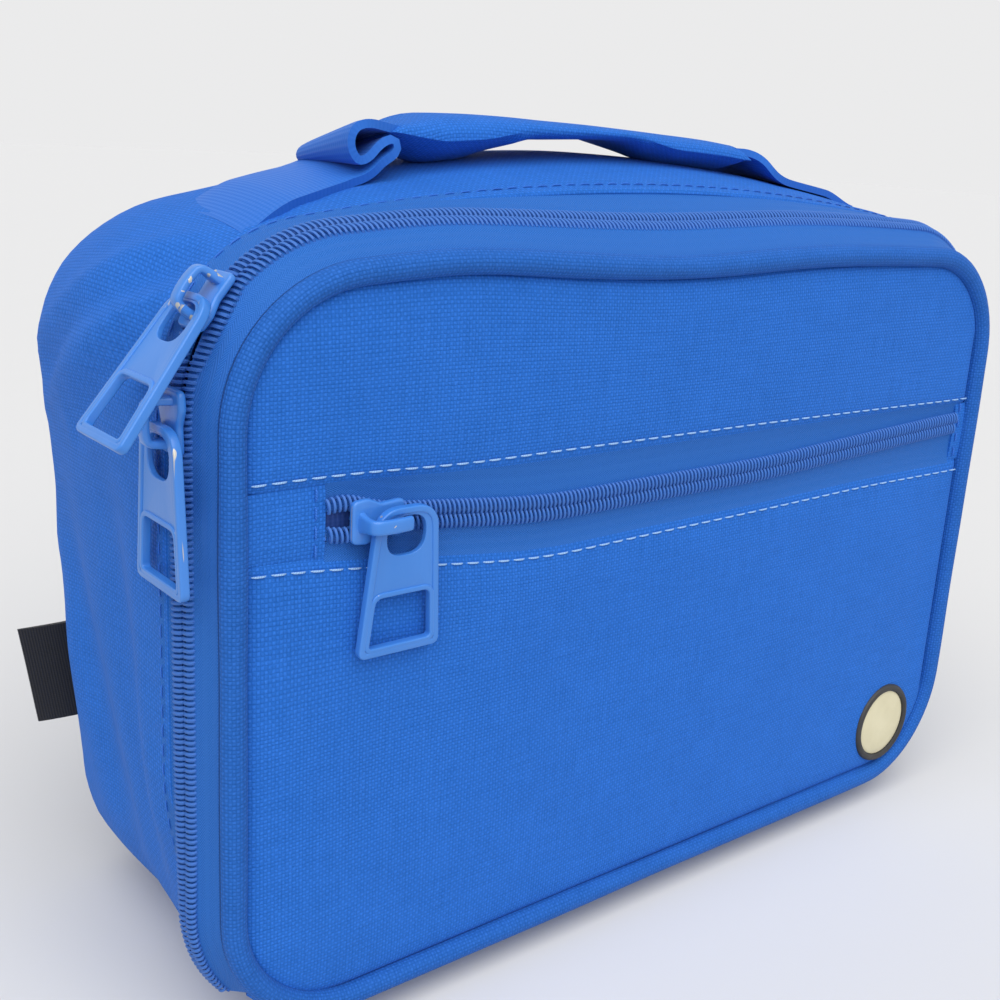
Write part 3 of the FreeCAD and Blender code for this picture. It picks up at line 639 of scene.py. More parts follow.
def woven(name, tone):
    """A plain weave of thick yarns with uneven dye, painted shade between the yarns and a dry sheen."""
    look = Look(name, Specular_IOR_Level=0.15, Sheen_Weight=0.20, Sheen_Roughness=0.35)
    look.set(Sheen_Tint=pale(tone, 0.15))
    along, across, _, place = look.cloth()
    pitch = props().cloth.yarn
    turn = math.pi / pitch
    wander = (look.noise(place, 900.0, 1.0) - 0.5) * (pitch * 0.5)
    weave = ((along + wander) * turn).cosine() * ((across + wander) * turn).cosine()
    knuckle = abs(weave) ** 0.55
    blotch = look.noise(place, 55.0, 3.0, 0.6) - 0.5
    fleck = look.noise(place, 2600.0, 1.0) - 0.5
    slub = look.slub(place, (1.0, 0.06, 1.0)) + look.slub(place, (0.06, 1.0, 1.0)) - 1.0
    # The knuckle term lightens the yarn crossings and darkens the gaps between them: painted shade; slub,
    # blotch and fleck are uneven dye.
    light = knuckle * 0.50 + weave * 0.20 + slub * 0.45 + blotch * 0.26 + fleck * 0.40 + 0.19
    dark, bright = shade(tone, 0.70), pale(shade(tone, 1.165)[:3], 0.015)
    rough = 0.72 + 0.14 * (0.5 - knuckle)
    return look.finish(light, dark, bright, rough, knuckle + fleck * 0.25, 0.00013)


def ribbed(name, tone, pitch, roughness):
    """A ribbed tape, with painted shade in the grooves between its ribs."""
    look = Look(name, Specular_IOR_Level=0.35, Sheen_Weight=0.12, Sheen_Roughness=0.4)
    along, across, _, place = look.cloth()
    rib, weave = along.ribs(pitch), across.ribs(pitch * 0.8)
    # Tone follows the relief of the ribs and the weave: painted shade in the grooves, painted highlight on
    # the ribs; the noise is random tone.
    light = rib * 0.5 + weave * 0.2 + (look.noise(place, 1500.0, 2.0) - 0.5) * 0.4
    rough = roughness + 0.1 * (0.5 - rib)
    return look.finish(light, shade(tone, 0.7), pale(tone, 0.02), rough, rib + weave * 0.3, 0.00006)


def twisted(name, tone, fade):
    """Twisted sewing thread, with painted shade in the grooves of the twist and a painted highlight on its
    ridges.
    """
    look = Look(name, Specular_IOR_Level=0.3)
    along, across, _, place = look.cloth()
    pitch = 0.0011
    twist = (across * 2.0 + along - pitch / 4).ribs(pitch)
    fleck = look.noise(place, 900.0, 1.0)
    # The twist term lightens the ridges of the twist and darkens its grooves: painted highlight and painted
    # shade; fade sets how pale the light end is, and fleck is random tone.
    light, rough = twist * 0.6 + fleck * 0.4, 0.5 + 0.15 * fleck
    return look.finish(light, shade(tone, 0.72), pale(tone, fade), rough, twist, 0.00006)


def moulded(name, tone, fade, specular, roughness, blotch, grain, relief, pits=0.0):
    """Moulded plastic with a blotchy tone and a fine grain, each given by scale and detail."""
    look = Look(name, Specular_IOR_Level=specular)
    place = look.cloth()[3]
    blotch, grain = look.noise(place, *blotch), look.noise(place, *grain)
    rough, height = roughness + 0.2 * grain, grain + blotch * pits
    return look.finish(blotch, shade(tone, 0.80), pale(tone, fade), rough, height, relief)


@cache
def outer_cloth():
    return woven("outer_fabric", props().cloth.blue)


# The piping's cloth is the outer cloth drawn darker: painted shade on the round cord.
@cache
def shaded_piping_weave():
    return woven("piping_fabric_painted_shade", shade(props().cloth.blue, 0.80)[:3])


@cache
def strap_cloth():
    """Webbing: close ribs across its length, with painted shade between them."""
    tone = props().cloth.blue
    look = Look("strap_webbing", Specular_IOR_Level=0.25, Sheen_Weight=0.05, Sheen_Roughness=0.4)
    along, across, _, place = look.cloth()
    rib = along.ribs(0.00125)
    yarn = (across * (TURN / 0.0011) + rib * 1.5).cosine() * 0.5 + 0.5
    # Tone follows the relief of the ribs and yarns: painted shade between them; the noise is random tone.
    light = rib * 0.20 + yarn * 0.20 + (look.noise(place, 1700.0, 2.0) - 0.5) * 0.45 + 0.34
    rough = 0.62 + 0.15 * (0.5 - rib)
    return look.finish(light, shade(tone, 0.78), pale(tone, 0.015), rough, rib + yarn * 0.6, 0.00004)


@cache
def tape_cloth():
    """Zip tape: a fine herringbone, with painted shade in its grooves."""
    tone = props().cloth.tape
    look = Look("zip_tape", Specular_IOR_Level=0.15)
    along, across, _, place = look.cloth()
    band, pitch = 0.0024, 0.00070
    zigzag = abs((across / band).fraction() - 0.5) * band
    twill = (along + zigzag * 1.6 - pitch / 4).ribs(pitch)
    # Tone follows the twill's relief: painted shade in its grooves; the noise is random tone.
    light = twill * 0.62 + (look.noise(place, 1800.0, 2.0) - 0.5) * 0.4 + 0.15
    rough = 0.60 + 0.15 * (0.5 - twill)
    return look.finish(light, shade(tone, 0.72), pale(tone, 0.03), rough, twill, 0.00010)


@cache
def pull_paint():
    """Thick gloss paint on cast metal, chipped in spots along the edges."""
    zips = props().zip
    look = Look("pull_metal", Specular_IOR_Level=0.35, Coat_Roughness=0.12)
    _, _, edge, place = look.cloth()
    spot = look.noise(place, 260.0, 3.0, 0.65)
    chip = (spot + edge * 100.0 - 0.715).over(0.0, 0.025)
    cloud = look.noise(place, 120.0, 2.0)
    paint = look.mix(cloud, shade(zips.paint, 0.92), pale(zips.paint, 0.04))
    look.set(Metallic=chip * 0.9, Coat_Weight=0.22 * (1.0 - chip))
    rough = 0.30 + 0.10 * cloud + 0.18 * chip
    height = look.noise(place, 420.0, 2.0) - chip * 0.8
    return look.finish(chip, paint, (*zips.bare, 1.0), rough, height, 0.00004)


@cache
def lining_film():
    """Silvery wipe-clean film over a fine weave, softly crinkled, with painted shade in the hollows of the
    crinkles.
    """
    tone = props().cloth.lining
    look = Look("lining", Specular_IOR_Level=0.55)
    along, across, _, place = look.cloth()
    turn = math.pi / 0.0006
    weave = (along * turn).cosine() * (across * turn).cosine()
    crinkle = look.noise(place, 120.0, 4.0, 0.6)
    look.set(Metallic=0.25 + 0.2 * crinkle)
    # Tone follows the crinkles' relief: painted shade in their hollows and painted highlight on their
    # crests.
    light, rough = crinkle * 0.8 + weave * 0.08, 0.34 + 0.16 * crinkle
    height = crinkle + weave * 0.03
    return look.finish(light, shade(tone, 0.78), pale(tone, 0.12), rough, height, 0.0006)


@cache
def binding_cloth():
    return ribbed("binding", props().cloth.binding, 0.0012, 0.62)


@cache
def label_cloth():
    return ribbed("label_cloth", props().cloth.label, 0.0007, 0.55)


@cache
def lid_thread():
    return twisted("lid_thread", props().cloth.thread, 0.25)


@cache
def case_thread():
    return twisted("case_thread", props().cloth.seam, 0.03)


@cache
def coil_nylon():
    grain = (700.0, 2.0)
    return moulded("zip_coil", props().zip.coil, 0.05, 0.25, 0.40, grain, grain, 0.00002)


@cache
def patch_rubber():
    rim = props().cloth.rim
    return moulded("patch_rim", rim, 0.035, 0.45, 0.42, (170.0, 2.0), (1400.0, 3.0), 0.00003)


@cache
def patch_cream():
    cream = props().cloth.cream
    return moulded("patch_face", cream, 0.12, 0.4, 0.48, (130.0, 3.0), (900.0, 3.0), 0.00004, 1.0)


# Case

HINGE_THICK = 1.0
# The hem's turned edge: how far behind the hem line and how deep under the cloth each row lies.
HEM_TURN = ((4.0, 1.6), (0.6, 1.6), (-0.1, 1.3), (-0.3, 0.8), (-0.2, 0.3), (0.1, 0.0))
SEAM_DIP = 0.9

# Folds seen on the left side and the crown, and guessed on the right: start, end, width and depth.
CREASES = (
    ((-136.5, 36, 142), (-124.0, -28, 178), 3.6, 3.2),
    ((-136.5, 10, 136), (-133.0, -28, 163), 3.2, 2.2),
    ((-136.8, 26, 112), (-136.5, 6, 30), 6.0, 2.0),
    ((-136.5, -6, 120), (-136.0, -18, 30), 5.0, 1.6),
    ((-135.0, 40, 92), (-134.5, 44, 30), 5.0, 1.8),
    ((-70.0, 20, 195), (20.0, 34, 196), 7.0, 1.0),
    ((30.0, 10, 197), (104.0, 22, 186), 6.0, 0.9),
    ((136.5, 34, 140), (136.0, 10, 40), 6.0, 2.0),
    ((136.5, -6, 150), (136.5, -18, 60), 5.0, 1.5),
    ((136.0, 38, 130), (126.0, -24, 172), 4.5, 1.8),
)
# Deeper folds are eased, so that the lining stays behind them.
DEEPEST_FOLD = 2.9


def build_case():
    """The gusset, one bulged ring of padded cloth with a hem in front, and the back panel."""
    outward = at_depth(ring_normals(BELLY_RING), 0.0)
    hem = [case_points((HEM + behind)[None]) - outward * under for behind, under in HEM_TURN]
    rounding = 1 - np.cos(np.linspace(1.02, 1.5707, 12)) * 0.305
    share = np.concatenate((np.linspace(0.006, 0.84, 44), rounding))[:, None]
    points = np.concatenate((*hem, case_points(HEM + share * (BACK_Y - HEM))))
    coat = grid_cloth(points)
    points = soften_case(points)
    points[-1, :, 1] -= SEAM_DIP
    gusset = Shape().grid(points, coat)
    piece = gusset.object("gusset_cloth", outer_cloth(), "case", "outer_fabric", ["gusset"], weld=False)

    shares = np.concatenate((np.linspace(0, 0.06, 5), np.linspace(0.1, 0.97, 24)))[:, None]
    back = between(points[-1, :-1], (0.0, BACK_Y, BACK_MIDDLE_Z), shares)
    back[..., 1] = BACK_Y - SEAM_DIP * np.exp(-shares / 0.012) + 1.4 * smoothstep(0.0, 0.5, shares)
    fade = smoothstep(0.0, 0.12, np.linspace(0, 1, len(back) - 1))[:, None]
    back[1:, :, 1] += 0.7 * slack(back[1:], 21, 90.0) * fade
    panel = Shape().grid(back, flat_cloth(back), close=True, ends=(-1,))
    piece = panel.object("rear_cloth", outer_cloth(), "case", "outer_fabric", ["rear_panel"])


def soften_case(points):
    """Press soft folds and seam puckers into the case, leaving its hem and base in place."""
    height = props().cloth.slack / MM
    _, y, z = axes(points)
    normal = grid_normals(points)
    outward = np.sign((normal * (points - (0.0, 0.0, 95.0))).sum(-1).mean())
    move = height * (0.55 * slack(points, 4, 95.0) + 0.20 * slack(points, 5, 34.0))
    for fold in CREASES:
        move += crease(points, *fold)
    walked = steps_along(points, 1)
    hem_pucker = np.sin(walked * (TURN / 13.0) + 1.3 * slack(points, 9, 60.0))
    move += bell(y, HEM + 5.0, 6.0) * 0.28 * hem_pucker
    move += bell(y, BACK_Y - 4.0, 6.0) * 0.30 * np.sin(walked * (TURN / 17.0))
    move *= 1 - 0.9 * bell(y, HANDLE_Y, 20.0) * smoothstep(182.0, 190.0, z)
    move = np.where(move < 0, DEEPEST_FOLD * np.tanh(move / DEEPEST_FOLD), move)
    row, fixed, last = np.arange(len(points))[:, None], len(HEM_TURN), len(points) - 1
    keep = smoothstep(fixed - 1, fixed + 5, row) * smoothstep(1.0, 9.0, z)
    keep = keep * (1 - smoothstep(last - 3, last, row))
    return sag_in(points + normal * (outward * move * keep)[..., None])


def build_hinge():
    """The cloth that joins lid and case along the bottom."""
    front = at_depth(FRONT.blend(MOUTH, 0.12).ring(), LID_Y + 2.2)
    points = between(front, at_depth(MOUTH.ring(), MOUTH_Y + 0.6), np.linspace(0, 1, 9))
    low = np.flatnonzero(points[..., 2].min(axis=0) < ZIP_FOOT + 1.0)
    half = len(front) // 2
    points = points[:, np.concatenate((low[low > half], low[low < half][1:]))]
    points[..., 2] = np.maximum(points[..., 2], 0.15)
    points[4:] = sag_in(points[4:])
    points[:5] = between(points[0], points[4], np.linspace(0, 1, 5))
    cloth = Shape().sheet(points, HINGE_THICK)
    piece = cloth.object("hinge_cloth", outer_cloth(), "case", "outer_fabric", ["hinge_strip"])


# Lining

LINER_IN, LINER_BEHIND, LINER_MOUTH_IN = 7.4, 4.4, 2.0
LINER_MOUTH_Y = -32.6
LID_LINER_Y = -40.2
BAG_Y, BAG_THICK = -49.0, 0.4
LID_WALL_LEVELS = (-48.4, -46.0, -43.6, -41.2)
# The binding's fold: how far inside the edge and how far from the lining each row lies.
BINDING_FOLD = ((0.0, 1.0), (0.0, 0.3), (0.5, -0.4), (1.6, -0.7), (5.5, -0.7), (6.5, -0.4), (6.9, 0.2))


def build_case_lining():
    """The padded lining of the case and the binding round its mouth."""
    rounding = (BACK_ROUND - LINER_IN) * np.sin(np.linspace(0.15, math.pi / 2, 6))
    levels = np.concatenate((np.linspace(LINER_MOUTH_Y, 34.5, 16), BACK_Y - BACK_ROUND + rounding))
    inner = case_rows(levels, LINER_IN)
    fade = smoothstep(0, 4, np.arange(len(inner)))[:, None]
    inner = inner - grid_normals(inner) * (0.8 * slack(inner, 31, 60.0) * fade)[..., None]
    outer = case_rows(np.linspace(36.0, -25.0, 9), LINER_BEHIND)
    mouth = case_rows([LINER_MOUTH_Y], LINER_MOUTH_IN)
    wall = sag_in(np.concatenate((outer, mouth, inner)))
    edge = wall[-1, :-1]
    back = between(edge, (0.0, edge[0, 1], BACK_MIDDLE_Z), np.linspace(0, 0.97, 16))
    back[1:, :, 1] += 0.5 * slack(back[1:], 33, 50.0)
    lining = Shape().grid(wall).grid(back, flat_cloth(back), close=True, ends=(-1,))
    nodes = ["case_liner", "gusset_foam", "rear_foam"]
    piece = lining.object("case_lining", lining_film(), "case", "lining", nodes, weld=False)
    build_binding("case_rim", MOUTH.inset(1.9), MOUTH_Y - 0.35, "case", "case_binding", 1)


def build_lid_lining():
    """The padded lining of the lid and the binding round it."""
    walls = []
    for y in LID_WALL_LEVELS:
        outline = FRONT.blend(ZIP, (y - LID_Y) / (ZIP_Y - LID_Y)).inset(5.4)
        walls.append(at_depth(outline.ring()[:-1], y))
    inside = ZIP.inset(4.8)
    shares = np.concatenate((np.linspace(0.01, 0.08, 4), np.linspace(0.12, 0.97, 18)))[:, None]
    face = between(at_depth(inside.ring()[:-1], LID_LINER_Y), (0.0, LID_LINER_Y, 92.0), shares)
    face[..., 1] += 1.3 * smoothstep(0.02, 0.35, shares)
    face[..., 1] += 0.5 * slack(face, 35, 45.0) * smoothstep(0.06, 0.2, shares)
    points = lid_sway(np.concatenate((walls, face)))
    lining = Shape().grid(points, points[..., [0, 2, 1]], close=True, ends=(0, -1))
    piece = lining.object("lid_lining", lining_film(), "lid", "lining", ["lid_liner", "lid_foam"])
    build_binding("lid_rim", inside.inset(-0.2), -40.0, "lid", "lid_binding", -1)


def build_binding(name, outline, y, body, node, front):
    """A tape folded over an edge all the way round, with its long edges rolled."""
    rows = [at_depth(outline.inset(by).ring()[:-1], y + out * front) for by, out in BINDING_FOLD]
    points = np.array(rows)
    points = zip_sway(points) if body == "lid" else sag_in(points)
    tape = Shape().grid(np.concatenate((points, points[:1])), close=True)
    piece = tape.object(name, binding_cloth(), body, "binding", [node])


def build_pocket_bag():
    """The cloth behind the pocket zip."""
    flat = xyz(np.linspace(-112.0, 121.0, 60), 0.0, np.linspace(22.0, 141.0, 32)[:, None])
    points = shifted(flat, y=BAG_Y + 0.15 * slack(flat, 37, 40.0))
    bag = Shape().sheet(points, BAG_THICK)
    # The bag wears the dark binding cloth so that the inside of the pocket reads dark: painted shade.
    piece = bag.object("pocket_bag", binding_cloth(), "lid", "pocket_cloth", ["pocket_lining"])


# Lid

PIPE_R = 2.9
WINDOW_LOW, WINDOW_TOP, POCKET_Z = 112.5, 130.5, 121.5
POCKET_LEFT, POCKET_RIGHT = -106.5, 119.0
PANEL_FRONT, PANEL_PUFF, PANEL_THICK, TAB_THICK = -50.7, 0.9, 1.1, 1.0


def lid_edge(x):
    """Lower and upper edge of the front panel at given places across it."""
    ring = PANEL.ring()
    left = ring[: len(ring) // 2 + 1]
    base, top = left[left[:, 1] < 70], left[left[:, 1] > 110]
    low = np.interp(np.abs(x), -base[:, 0], base[:, 1])
    return low, np.interp(-np.abs(x), top[:, 0], top[:, 1])


def panel_grid(low, high, x, rows):
    """A flat grid between two edges, with its rows closer together near them."""
    share = (1 - np.cos(np.linspace(0, math.pi, rows)))[:, None] / 2
    return xyz(x, PANEL_FRONT, low + (high - low) * share)


def puff(points, low, high, seed):
    """Push a panel forward between its seams, with faint slack, and tuck its edges in."""
    x, _, z = axes(points)
    half, base, top = PANEL.sizes[:3]
    beside = half - np.abs(x)
    near = np.minimum(np.minimum(z - low, high - z), beside)
    outer = np.minimum(np.minimum(z - base, top - z), beside)
    rise = PANEL_PUFF * (1 - np.exp(-np.maximum(near, 0.0) / 6.0))
    rise += 0.32 * slack(points, seed, 70.0) * smoothstep(0.0, 14.0, near)
    tuck = 0.5 * np.exp(-np.maximum(near, 0.0) / 1.3) + 1.2 * np.exp(-np.maximum(outer, 0.0) / 1.3)
    return shifted(points, y=tuck - rise)


def build_lid():
    """Two padded panels above and below the pocket zip, and the short cloth ends beside it."""
    half = PANEL.sizes[0]
    x = half * np.sin(np.linspace(-math.pi / 2, math.pi / 2, 121))
    low, high = lid_edge(x)
    for place, base, top, seed in (("upper", WINDOW_TOP, high, 51), ("lower", low, WINDOW_LOW, 52)):
        points = panel_grid(base, np.maximum(top, base + 0.5), x, 44)
        coat = flat_cloth(points)
        points = pocket_sway(lid_sway(puff(points, base, top, seed)))
        panel = Shape().sheet(points, PANEL_THICK, coat)
        nodes = [f"front_panel_{place}"]
        piece = panel.object(f"panel_{place}", outer_cloth(), "lid", "outer_fabric", nodes)
    for side, start, end in (("left", -half, POCKET_LEFT), ("right", POCKET_RIGHT, half)):
        points = panel_grid(WINDOW_LOW, WINDOW_TOP, np.linspace(start, end, 14), 16)
        near = np.minimum(points[..., 2] - WINDOW_LOW, WINDOW_TOP - points[..., 2])
        points = pocket_sway(shifted(points, y=0.5 * np.exp(-near / 2.5)))
        tab = Shape().sheet(points, TAB_THICK, flat_cloth(points))
        nodes = [f"pocket_tab_{side}"]
        piece = tab.object(f"pocket_end_{side}", outer_cloth(), "lid", "outer_fabric", nodes)


def build_piping():
    """A cord wrapped in the outer cloth, all round the lid; its cloth is drawn darker, painted shade."""
    path = lid_sway(at_depth(FRONT.inset(PIPE_R).ring()[:-1], LID_Y - 0.2))
    cord = Shape().tube(path, PIPE_R + 0.10 * slack(path, 61, 30.0), 20, closed=True)
    nodes = ["front_piping", "piping_cord"]
    piece = cord.object("piping_cloth", shaded_piping_weave(), "lid", "outer_fabric", nodes, weld=False)


# Zips

COIL_HALF, COIL_RISE, COIL_HIGH = 1.5, 0.55, 0.85
COIL_STEPS, COIL_SIDES = 12, 5
TAPE_THICK, POCKET_TAPE_THICK = 0.7, 0.6
POCKET_TAPE_START, POCKET_TAPE_WIDE = 1.4, 8.2
# Where the main zip stands open between its two sliders, walked from its left foot.
MAIN_GAP = (142.0, 161.0)


def main_gap(walked):
    """Half the gap between the coil rows where two sliders leave the main zip open."""
    start, end = MAIN_GAP
    share = np.clip((walked - start) / (end - start), 0.0, 1.0)
    return 1.5 * np.sin(math.pi * share) ** 0.8


def pocket_gap(walked):
    """Half the gap between the coil rows at the open end of the pocket zip."""
    return 1.9 * bell(walked, 4.0, 7.0)


def coil_row(path, outward, across, side, gap):
    """One row of a nylon coil: a flattened spiral, hooked towards the other row."""
    zips = props().zip
    pitch, wire = zips.pitch / MM, zips.wire / MM
    middle, walked = even_path(path, pitch / COIL_STEPS)
    known = walked_along(path)
    out = unit(read_off(walked, known, outward))
    across = unit(square_to(read_off(walked, known, across), out))
    angle = TURN * walked / pitch + (0.0 if side > 0 else math.pi)
    offset = side * (COIL_HALF + 0.05 + gap(walked)) + COIL_HALF * np.cos(angle)
    height = COIL_RISE + COIL_HIGH * np.sin(angle)
    spiral = middle + across * offset[:, None] + out * height[:, None]
    way = path_ways(spiral)
    first = unit(square_to(path_ways(middle), way))
    rim = spokes(first, np.cross(way, first), COIL_SIDES) * wire
    return Shape().grid(spiral[:, None] + rim, close=True)


def build_main_zip():
    """Tapes and coil rows of the main zip, from its left foot over the top to its right foot."""
    ring = ZIP.ring()
    keep = ring[:, 1] > ZIP_FOOT
    plan = ring[keep]
    outward = at_depth(ring_normals(ring)[keep], 0.0)
    tucked = sag_in(case_points((HEM + 3.0)[None], 0.6)[0][keep])
    lid_side = at_depth(FRONT.inset(1.5).ring()[keep], LID_Y + 0.8)
    shares = np.linspace(0, 1, 9)[:, None, None]
    for body, start, end, sway in (
        ("case", at_depth(plan, ZIP_Y + 1.0), tucked, 0.7 - 0.6 * shares),
        ("lid", lid_side, at_depth(plan, ZIP_Y - 1.0), 1.0 - 0.3 * shares),
    ):
        rows = zip_sway(between(start, end, shares), sway)
        tape = Shape().sheet(rows[:, ::-1], TAPE_THICK)
        tape.object(f"{body}_tape", tape_cloth(), body, "tape_fabric", [f"{body}_zip_tape"])
    path = zip_sway(at_depth(plan, ZIP_Y))
    slope = unit(tucked - lid_side)
    for body, side in (("case", 1), ("lid", -1)):
        coil = coil_row(path, square_to(outward, slope), slope, side, main_gap)
        coil.object(f"{body}_coil", coil_nylon(), body, "coil", [f"{body}_zip_coil"])


def build_pocket_zip():
    """Tapes and coil rows of the pocket zip."""
    rows = (("top", "upper", 1), ("low", "lower", -1))
    x = np.linspace(POCKET_LEFT, POCKET_RIGHT, 120)
    share = np.linspace(0, 1, 9)[:, None]
    y = LID_Y - 0.5 + 0.55 * np.sin(math.pi * share) ** 0.7
    parted = 1.6 * (1 - share) * bell(x, POCKET_LEFT + 5.0, 6.0)
    for place, node, side in rows:
        z = POCKET_Z + side * (POCKET_TAPE_START + POCKET_TAPE_WIDE * share + parted)
        tape = Shape().sheet(pocket_sway(xyz(x, y, z))[::side], POCKET_TAPE_THICK)
        nodes = [f"pocket_tape_{node}"]
        tape.object(f"pocket_tape_{place}", tape_cloth(), "lid", "tape_fabric", nodes)
    path = pocket_sway(xyz(x, LID_Y - 0.2, POCKET_Z))
    out, up = (np.tile(way, (len(x), 1)) for way in ((0.0, -1.0, 0.0), (0.0, 0.0, 1.0)))
    for place, node, side in rows:
        coil = coil_row(path, out, up, side, pocket_gap)
        coil.object(f"pocket_coil_{place}", coil_nylon(), "lid", "coil", [f"pocket_coil_{node}"])


# Stitches

THREAD_R, FINE_THREAD_R = 0.23, 0.19
STITCH_IN = 2.4


def stitch_row(shape, path, out, pitch, thick=THREAD_R):
    """A row of short thread loops that lie on the cloth and dip in at both ends."""
    out = np.broadcast_to(out, path.shape)
    middle, _ = even_path(path, pitch)
    normal = read_off(np.linspace(0, 1, len(middle)), np.linspace(0, 1, len(out)), out)
    share = np.linspace(-0.5, 0.5, 7)
    arch = 0.20 - 6.0 * share ** 4
    radius = thick * np.sqrt(np.maximum(1 - (share * 1.9) ** 4, 0.15))
    for spot, way, up in zip(middle, path_ways(middle), normal):
        line = spot + way * (share[:, None] * pitch * 0.74) + up * arch[:, None]
        shape.tube(line, radius, 6, aim=up)


def build_stitches():
    """Topstitching beside the pocket zip, on its ends and along the front edge of the case."""
    pitch = props().cloth.stitch / MM
    front = (0.0, -1.0, 0.0)
    half = PANEL.sizes[0] - 3
    x = np.linspace(-half, half, 60)
    shape = Shape()
    for z in (WINDOW_TOP + STITCH_IN, WINDOW_LOW - STITCH_IN):
        stitch_row(shape, pocket_sway(xyz(x, PANEL_FRONT - 0.32, z)), front, pitch)
    shape.object("lid_stitches", lid_thread(), "lid", "tape_fabric")
    z = np.linspace(WINDOW_LOW + 2.0, WINDOW_TOP - 2.0, 30)
    shape = Shape()
    for x in (POCKET_LEFT - STITCH_IN, POCKET_RIGHT + 1.8):
        stitch_row(shape, pocket_sway(xyz(x, PANEL_FRONT - 0.1, z)), front, pitch * 0.9)
    shape.object("pocket_end_stitches", case_thread(), "lid", "tape_fabric")

    keep = BELLY_RING[:, 1] > ZIP_FOOT
    line = sag_in(case_points((HEM + 2.3)[None])[0][keep])
    out = at_depth(ring_normals(MOUTH.ring()), -0.12)[keep]
    shape = Shape()
    stitch_row(shape, line + out * 0.12, out, pitch, FINE_THREAD_R)
    shape.object("case_stitches", case_thread(), "case", "tape_fabric")


# Sliders and pulls

SLIDER_LONG, SLIDER_WIDE, SLIDER_NARROW = 13.0, 10.0, 8.2
PLATE_LOW, PLATE_HIGH = 1.5, 3.2
INNER_LOW, INNER_HIGH = -3.9, -2.7
POST_LONG, POST_HALF = 2.4, 0.35
CAP_LONG, CAP_RISE, CAP_BAR, CAP_HALF = 10.5, 4.0, 1.6, 1.55
LOWER_SLIDER_Z = 147.0
UPPER_SLIDER_TURN = math.radians(37.0)
POCKET_SLIDER_X = -95.0
# The pocket slider rides a little high, with the zip under it.
POCKET_LIFT = 3.2
PULL_LONG, PULL_TOP, PULL_BOTTOM, PULL_BAR = 33.4, 15.0, 21.0, 2.0
PULL_RIM, RIM_HALF_THICK, WEB_HALF_THICK, PULL_RISE = 2.2, 1.0, 0.65, 1.6
EYE_LONG, EYE_HALF, EYE_TO_WINDOW = 8.8, 4.9, 9.0
POCKET_PULL_TILT = math.radians(3.5)


def rounded(corners, radius, steps=6):
    """A polygon with its corners rounded; radius may differ from corner to corner."""
    corners = np.array(corners, float)
    neighbours = np.roll(corners, 1, axis=0), np.roll(corners, -1, axis=0)
    share = np.linspace(0, 1, steps + 1)[:, None]
    points = []
    for here, before, after, bend in zip(corners, *neighbours, np.broadcast_to(radius, len(corners))):
        back, ahead = unit(before - here), unit(after - here)
        reach = bend / math.tan(math.acos(np.clip(back @ ahead, -1, 1)) / 2)
        near, far = here + back * reach * (1 - share), here + ahead * reach * share
        points.append(near + (far - near) * share)
    return np.concatenate(points)


def tapered(low, high, low_half, high_half):
    """Corners of a shape that is even on both sides, from its lower left."""
    return (-low_half, low), (low_half, low), (high_half, high), (-high_half, high)


def drawn_in(points, by):
    """A closed outline moved inwards by an even distance."""
    x, y = points.T
    along = unit(np.roll(points, -1, axis=0) - np.roll(points, 1, axis=0))
    turn = 1.0 if x @ np.roll(y, -1) > y @ np.roll(x, -1) else -1.0
    return points + np.column_stack((-along[:, 1], along[:, 0])) * by * turn


def cast_plate(loops, low, high, bevel):
    """A flat casting with holes and rounded edges, as points and faces."""
    data = bpy.data.curves.new("casting", "CURVE")
    data.dimensions = "2D"
    data.fill_mode = "BOTH"
    data.extrude = (high - low) / 2 - bevel
    data.bevel_depth = bevel
    data.bevel_resolution = 3
    for number, loop in enumerate(loops):
        loop = drawn_in(loop, bevel if number == 0 else -bevel)
        spline = data.splines.new("POLY")
        spline.points.add(len(loop) - 1)
        for point, (x, y) in zip(spline.points, loop):
            point.co = (x, y, 0, 1)
        spline.use_cyclic_u = True
    thing = linked("casting", data)
    bpy.context.view_layer.update()
    graph = bpy.context.evaluated_depsgraph_get()
    mesh = bpy.data.meshes.new_from_object(thing.evaluated_get(graph))
    points = np.array([v.co[:] for v in mesh.vertices])
    points[:, 2] += (high + low) / 2
    faces = [tuple(face.vertices) for face in mesh.polygons]
    bpy.data.objects.remove(thing)
    bpy.data.curves.remove(data)
    bpy.data.meshes.remove(mesh)
    return points, faces


def placed(points, origin, *ways):
    """Points given along three ways, set at an origin."""
    return origin + points @ np.array(ways, float)


def add_cast(shape, setting, loops, low, high, bevel, wear=0.0):
    """Add a casting to a shape; its flat faces wear less than its edges."""
    points, faces = cast_plate(loops, low, high, bevel)
    flat = np.abs(points[:, 2] - (low + high) / 2) > (high - low) / 2 - 0.02
    points = placed(points, *setting)
    shape.add(points, faces, xyz(points[:, 0], points[:, 1], wear * (1 - flat * 0.6)))


def slider_plan():
    """Plan of a slider: two lobes at the open end and a straight neck."""
    end, wide, narrow = SLIDER_LONG / 2, SLIDER_WIDE, SLIDER_NARROW
    half = [(-end, narrow * 0.5), (-end * 0.10, narrow * 0.44), (end * 0.42, wide * 0.5), (end, wide * 0.46)]
    radii = [1.6, 3.0, 3.0, 1.7]
    return rounded([(x, -y) for x, y in half] + half[::-1], radii + radii[::-1])


